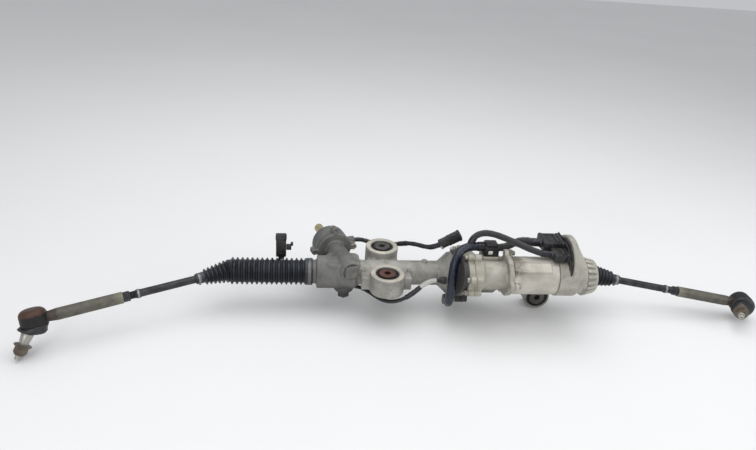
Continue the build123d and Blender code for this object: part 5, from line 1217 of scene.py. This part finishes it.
def connectors():
    """Parked, inline and round connectors, and the control unit's black face with its two plugs."""
    parked = Matrix.Translation((-0.208, 0.087, 0.017))
    parts = ribbed_plug(parked, (22, 12), 50, 5)
    parts.append(block((19, 9.5, 3), parked @ Matrix.Translation((0, 0, 48.6 * MM)), 0.8, 1))
    parts.append(block((10, 8, 11), Matrix.Translation((-0.1925, 0.087, 0.038)), 1.2, 2))
    parts.append(block((5, 6, 7), Matrix.Translation((-0.1865, 0.087, 0.045)), 1.0, 2))
    inline = facing(INLINE_PLACE, INLINE_DIRECTION)
    parts += ribbed_plug(inline, (19, 15), 24, 4)
    parts += ribbed_plug(inline @ Matrix.Translation((0, 0, 22 * MM)), (20, 16), 25, 5)
    add_piece(
        "loose_connectors",
        join(*parts),
        "plastic",
        "housing",
        ["harness_connectors"],
        math.radians(30),
    )

    leaving = Vector((0.010, 0, 0)).normalized()
    round_end = facing((0.104, -0.005, 0.019), leaving)
    profile = [
        (-1, 0), (-1, 5.4), (0, 6.0), (2.2, 6.0), (2.6, 7.2), (5.4, 7.5), (5.8, 6.7), (6.6, 6.7),
        (7, 7.5), (11.6, 7.5), (12.5, 6.6), (12.5, 0),
    ]
    add_piece(
        "round_connector",
        lathe(profile, round_end, 48),
        "plastic",
        "housing",
        (),
        math.radians(30),
    )

    disc = [(0.4, 0), (0.4, 50), (-2.6, 50), (-3.6, 49), (-3.6, 44), (-5.0, 43), (-5.0, 0), (0.4, 0)]
    add_piece(
        "unit_panel",
        lathe(disc, across_matrix(UNIT_FLANGE_X, MOTOR_Y + 0.015, MOTOR_Z + 0.022), 80),
        "plastic",
        "housing",
        (),
        math.radians(30),
    )

    for name, y, z, size, length in (
        ("upper", 0.021, 0.093, (46, 22), 36), ("lower", -0.020, 0.088, (34, 16), 24)
    ):
        header_x = UNIT_FLANGE_X - HEADER_DEPTH
        place = across_matrix(header_x, y, z) @ Matrix.Rotation(math.pi, 4, "X")
        parts = ribbed_plug(place, size, length, 6)
        parts.append(
            block(
                (size[0] * 0.7, 2.4, 6),
                place @ Matrix.Translation((0, -size[1] / 2 * MM, 6 * MM)),
                0.8,
                2,
            )
        )
        back = place @ Matrix.Translation((0, 0, (length - 2) * MM))
        parts.append(
            lathe(
                [(0, 0), (0, size[1] / 2 - 0.5), (3, size[1] / 2 - 1.5), (5, size[1] / 2 - 2.5), (5, 0)],
                back,
                32,
            )
        )
        add_piece(
            f"{name}_unit_plug",
            join(*parts),
            "plastic",
            "housing",
            (),
            math.radians(30),
        )
        socket = across_matrix(header_x + 0.005, y, z)
        parts = [
            block((*size, 9.8), socket, 1.6, 2),
            block((size[0] + 3, size[1] + 3, 2.4), socket @ Matrix.Translation((0, 0, 3.4 * MM)), 1, 2),
        ]
        add_piece(
            f"{name}_unit_socket",
            join(*parts),
            "plastic",
            "housing",
            ["connector_header"],
            math.radians(30),
        )


def junction():
    """Junction box on its pad over the belt drive: lid, ribs, corner clips and a pale locking tab."""
    middle = Vector((0.205, 0.025, 0))
    parts = [block((29, 27, 19), Matrix.Translation(middle + Vector((0, 0, 0.0735))), 2.0, 3)]
    parts.append(block((30, 28, 3.2), Matrix.Translation(middle + Vector((0, 0, 0.083))), 1.2, 2))
    parts.append(block((24, 22, 5), Matrix.Translation(middle + Vector((0, 0, 0.087))), 1.6, 3))
    for step in range(5):
        x = middle.x + (step - 2) * 0.0052
        parts.append(block((1.5, 27.9, 15), Matrix.Translation((x, middle.y, 0.073)), 0.5, 1))
    for x in (-0.010, 0.010):
        parts.append(
            block((5, 2.2, 9), Matrix.Translation((middle.x + x, middle.y - 0.0134, 0.079)), 0.7, 2)
        )
    add_piece(
        "junction_cover",
        join(*parts),
        "plastic",
        "housing",
        ["junction_box"],
        math.radians(30),
    )
    tab = block((9, 3.0, 7), Matrix.Translation((middle.x - 0.003, middle.y - 0.0137, 0.0735)), 0.9, 2)
    add_piece("junction_tab", tab, "pale", "housing", (), math.radians(30))


def inline_tag():
    """Small pale patch on the inline connector's end."""
    place = facing(INLINE_PLACE + INLINE_DIRECTION * 3 * MM, INLINE_DIRECTION)
    tag = block((9, 15.6, 3.6), place @ Matrix.Translation((-5 * MM, 0, 0)), 1.0, 2)
    add_piece("inline_tag", tag, "tag", "housing", (), math.radians(40))


connectors()
junction()
inline_tag()


# ---- camera, floor and light ------------------------------------------------------------------
CAMERA_PLACE = Vector((-0.167, -1.039, 0.663))
CAMERA_PITCH = math.radians(26.7)
CAMERA_YAW = math.radians(7.7)
CAMERA_ROLL = math.radians(4.6)
FOCAL_PIXELS = 630
FRAME_WIDTH = 756
FLOOR_Z = -0.0835


def set_camera():
    """Camera over the front of the rack, looking down and a little to the motor side, rolled clockwise."""
    forward = Vector(
        (
            math.sin(CAMERA_YAW) * math.cos(CAMERA_PITCH),
            math.cos(CAMERA_YAW) * math.cos(CAMERA_PITCH),
            -math.sin(CAMERA_PITCH),
        )
    )
    level = Vector((math.cos(CAMERA_YAW), -math.sin(CAMERA_YAW), 0))
    down = forward.cross(level)
    right = math.cos(CAMERA_ROLL) * level - math.sin(CAMERA_ROLL) * down
    down = math.sin(CAMERA_ROLL) * level + math.cos(CAMERA_ROLL) * down
    turn = Matrix((right, -down, -forward)).transposed().to_4x4()
    camera = bpy.data.objects.new("camera", bpy.data.cameras.new("camera"))
    camera.data.sensor_width = 36
    camera.data.lens = 36 * FOCAL_PIXELS / FRAME_WIDTH
    camera.data.clip_start = 0.01
    camera.matrix_world = Matrix.Translation(CAMERA_PLACE) @ turn
    bpy.context.scene.collection.objects.link(camera)
    bpy.context.scene.camera = camera


def backdrop_material(name, tone):
    """Pale matt surface that shows tone to the camera and takes shadows."""
    s = Shader(name, roughness=0.8)
    patch = s.spread(s.noise(1.5, detail=4), 0.3, 0.7)
    return s.done(
        s.mix(patch, tone, tuple(0.97 * part for part in tone)), s.spread(patch, 0, 1, 0.75, 0.85)
    )


def set_stage():
    """Pale floor under the part."""
    bm = bmesh.new()
    bmesh.ops.create_grid(bm, x_segments=1, y_segments=1, size=6)
    bmesh.ops.translate(bm, vec=(0, 0, FLOOR_Z), verts=bm.verts[:])
    mesh = bpy.data.meshes.new("floor")
    bm.to_mesh(mesh)
    bm.free()
    floor = bpy.data.objects.new("floor", mesh)
    mesh.materials.append(backdrop_material("floor", (0.80, 0.80, 0.80)))
    bpy.context.scene.collection.objects.link(floor)


def set_lights():
    """Soft even light from above and the front, with a weak one from the right."""
    world = bpy.data.worlds.new("studio")
    world.use_nodes = True
    bpy.context.scene.world = world
    world.node_tree.nodes["Background"].inputs["Color"].default_value = (0.95, 0.97, 1.0, 1)
    world.node_tree.nodes["Background"].inputs["Strength"].default_value = 0.55
    for name, place, size, power in (
        ("overhead", (0.1, 0.1, 1.9), 2.2, 26),
        ("front", (-0.9, -1.8, 1.3), 1.4, 14),
        ("right", (1.9, -0.6, 0.9), 1.0, 8),
    ):
        lamp = bpy.data.lights.new(name, "AREA")
        lamp.size = size
        lamp.energy = power
        lamp_object = bpy.data.objects.new(name, lamp)
        aim = Vector((0.08, 0.05, 0)) - Vector(place)
        turn = aim.to_track_quat("-Z", "Y").to_matrix().to_4x4()
        lamp_object.matrix_world = Matrix.Translation(place) @ turn
        bpy.context.scene.collection.objects.link(lamp_object)


set_camera()
set_stage()
set_lights()
bpy.context.scene.view_settings.view_transform = "Standard"
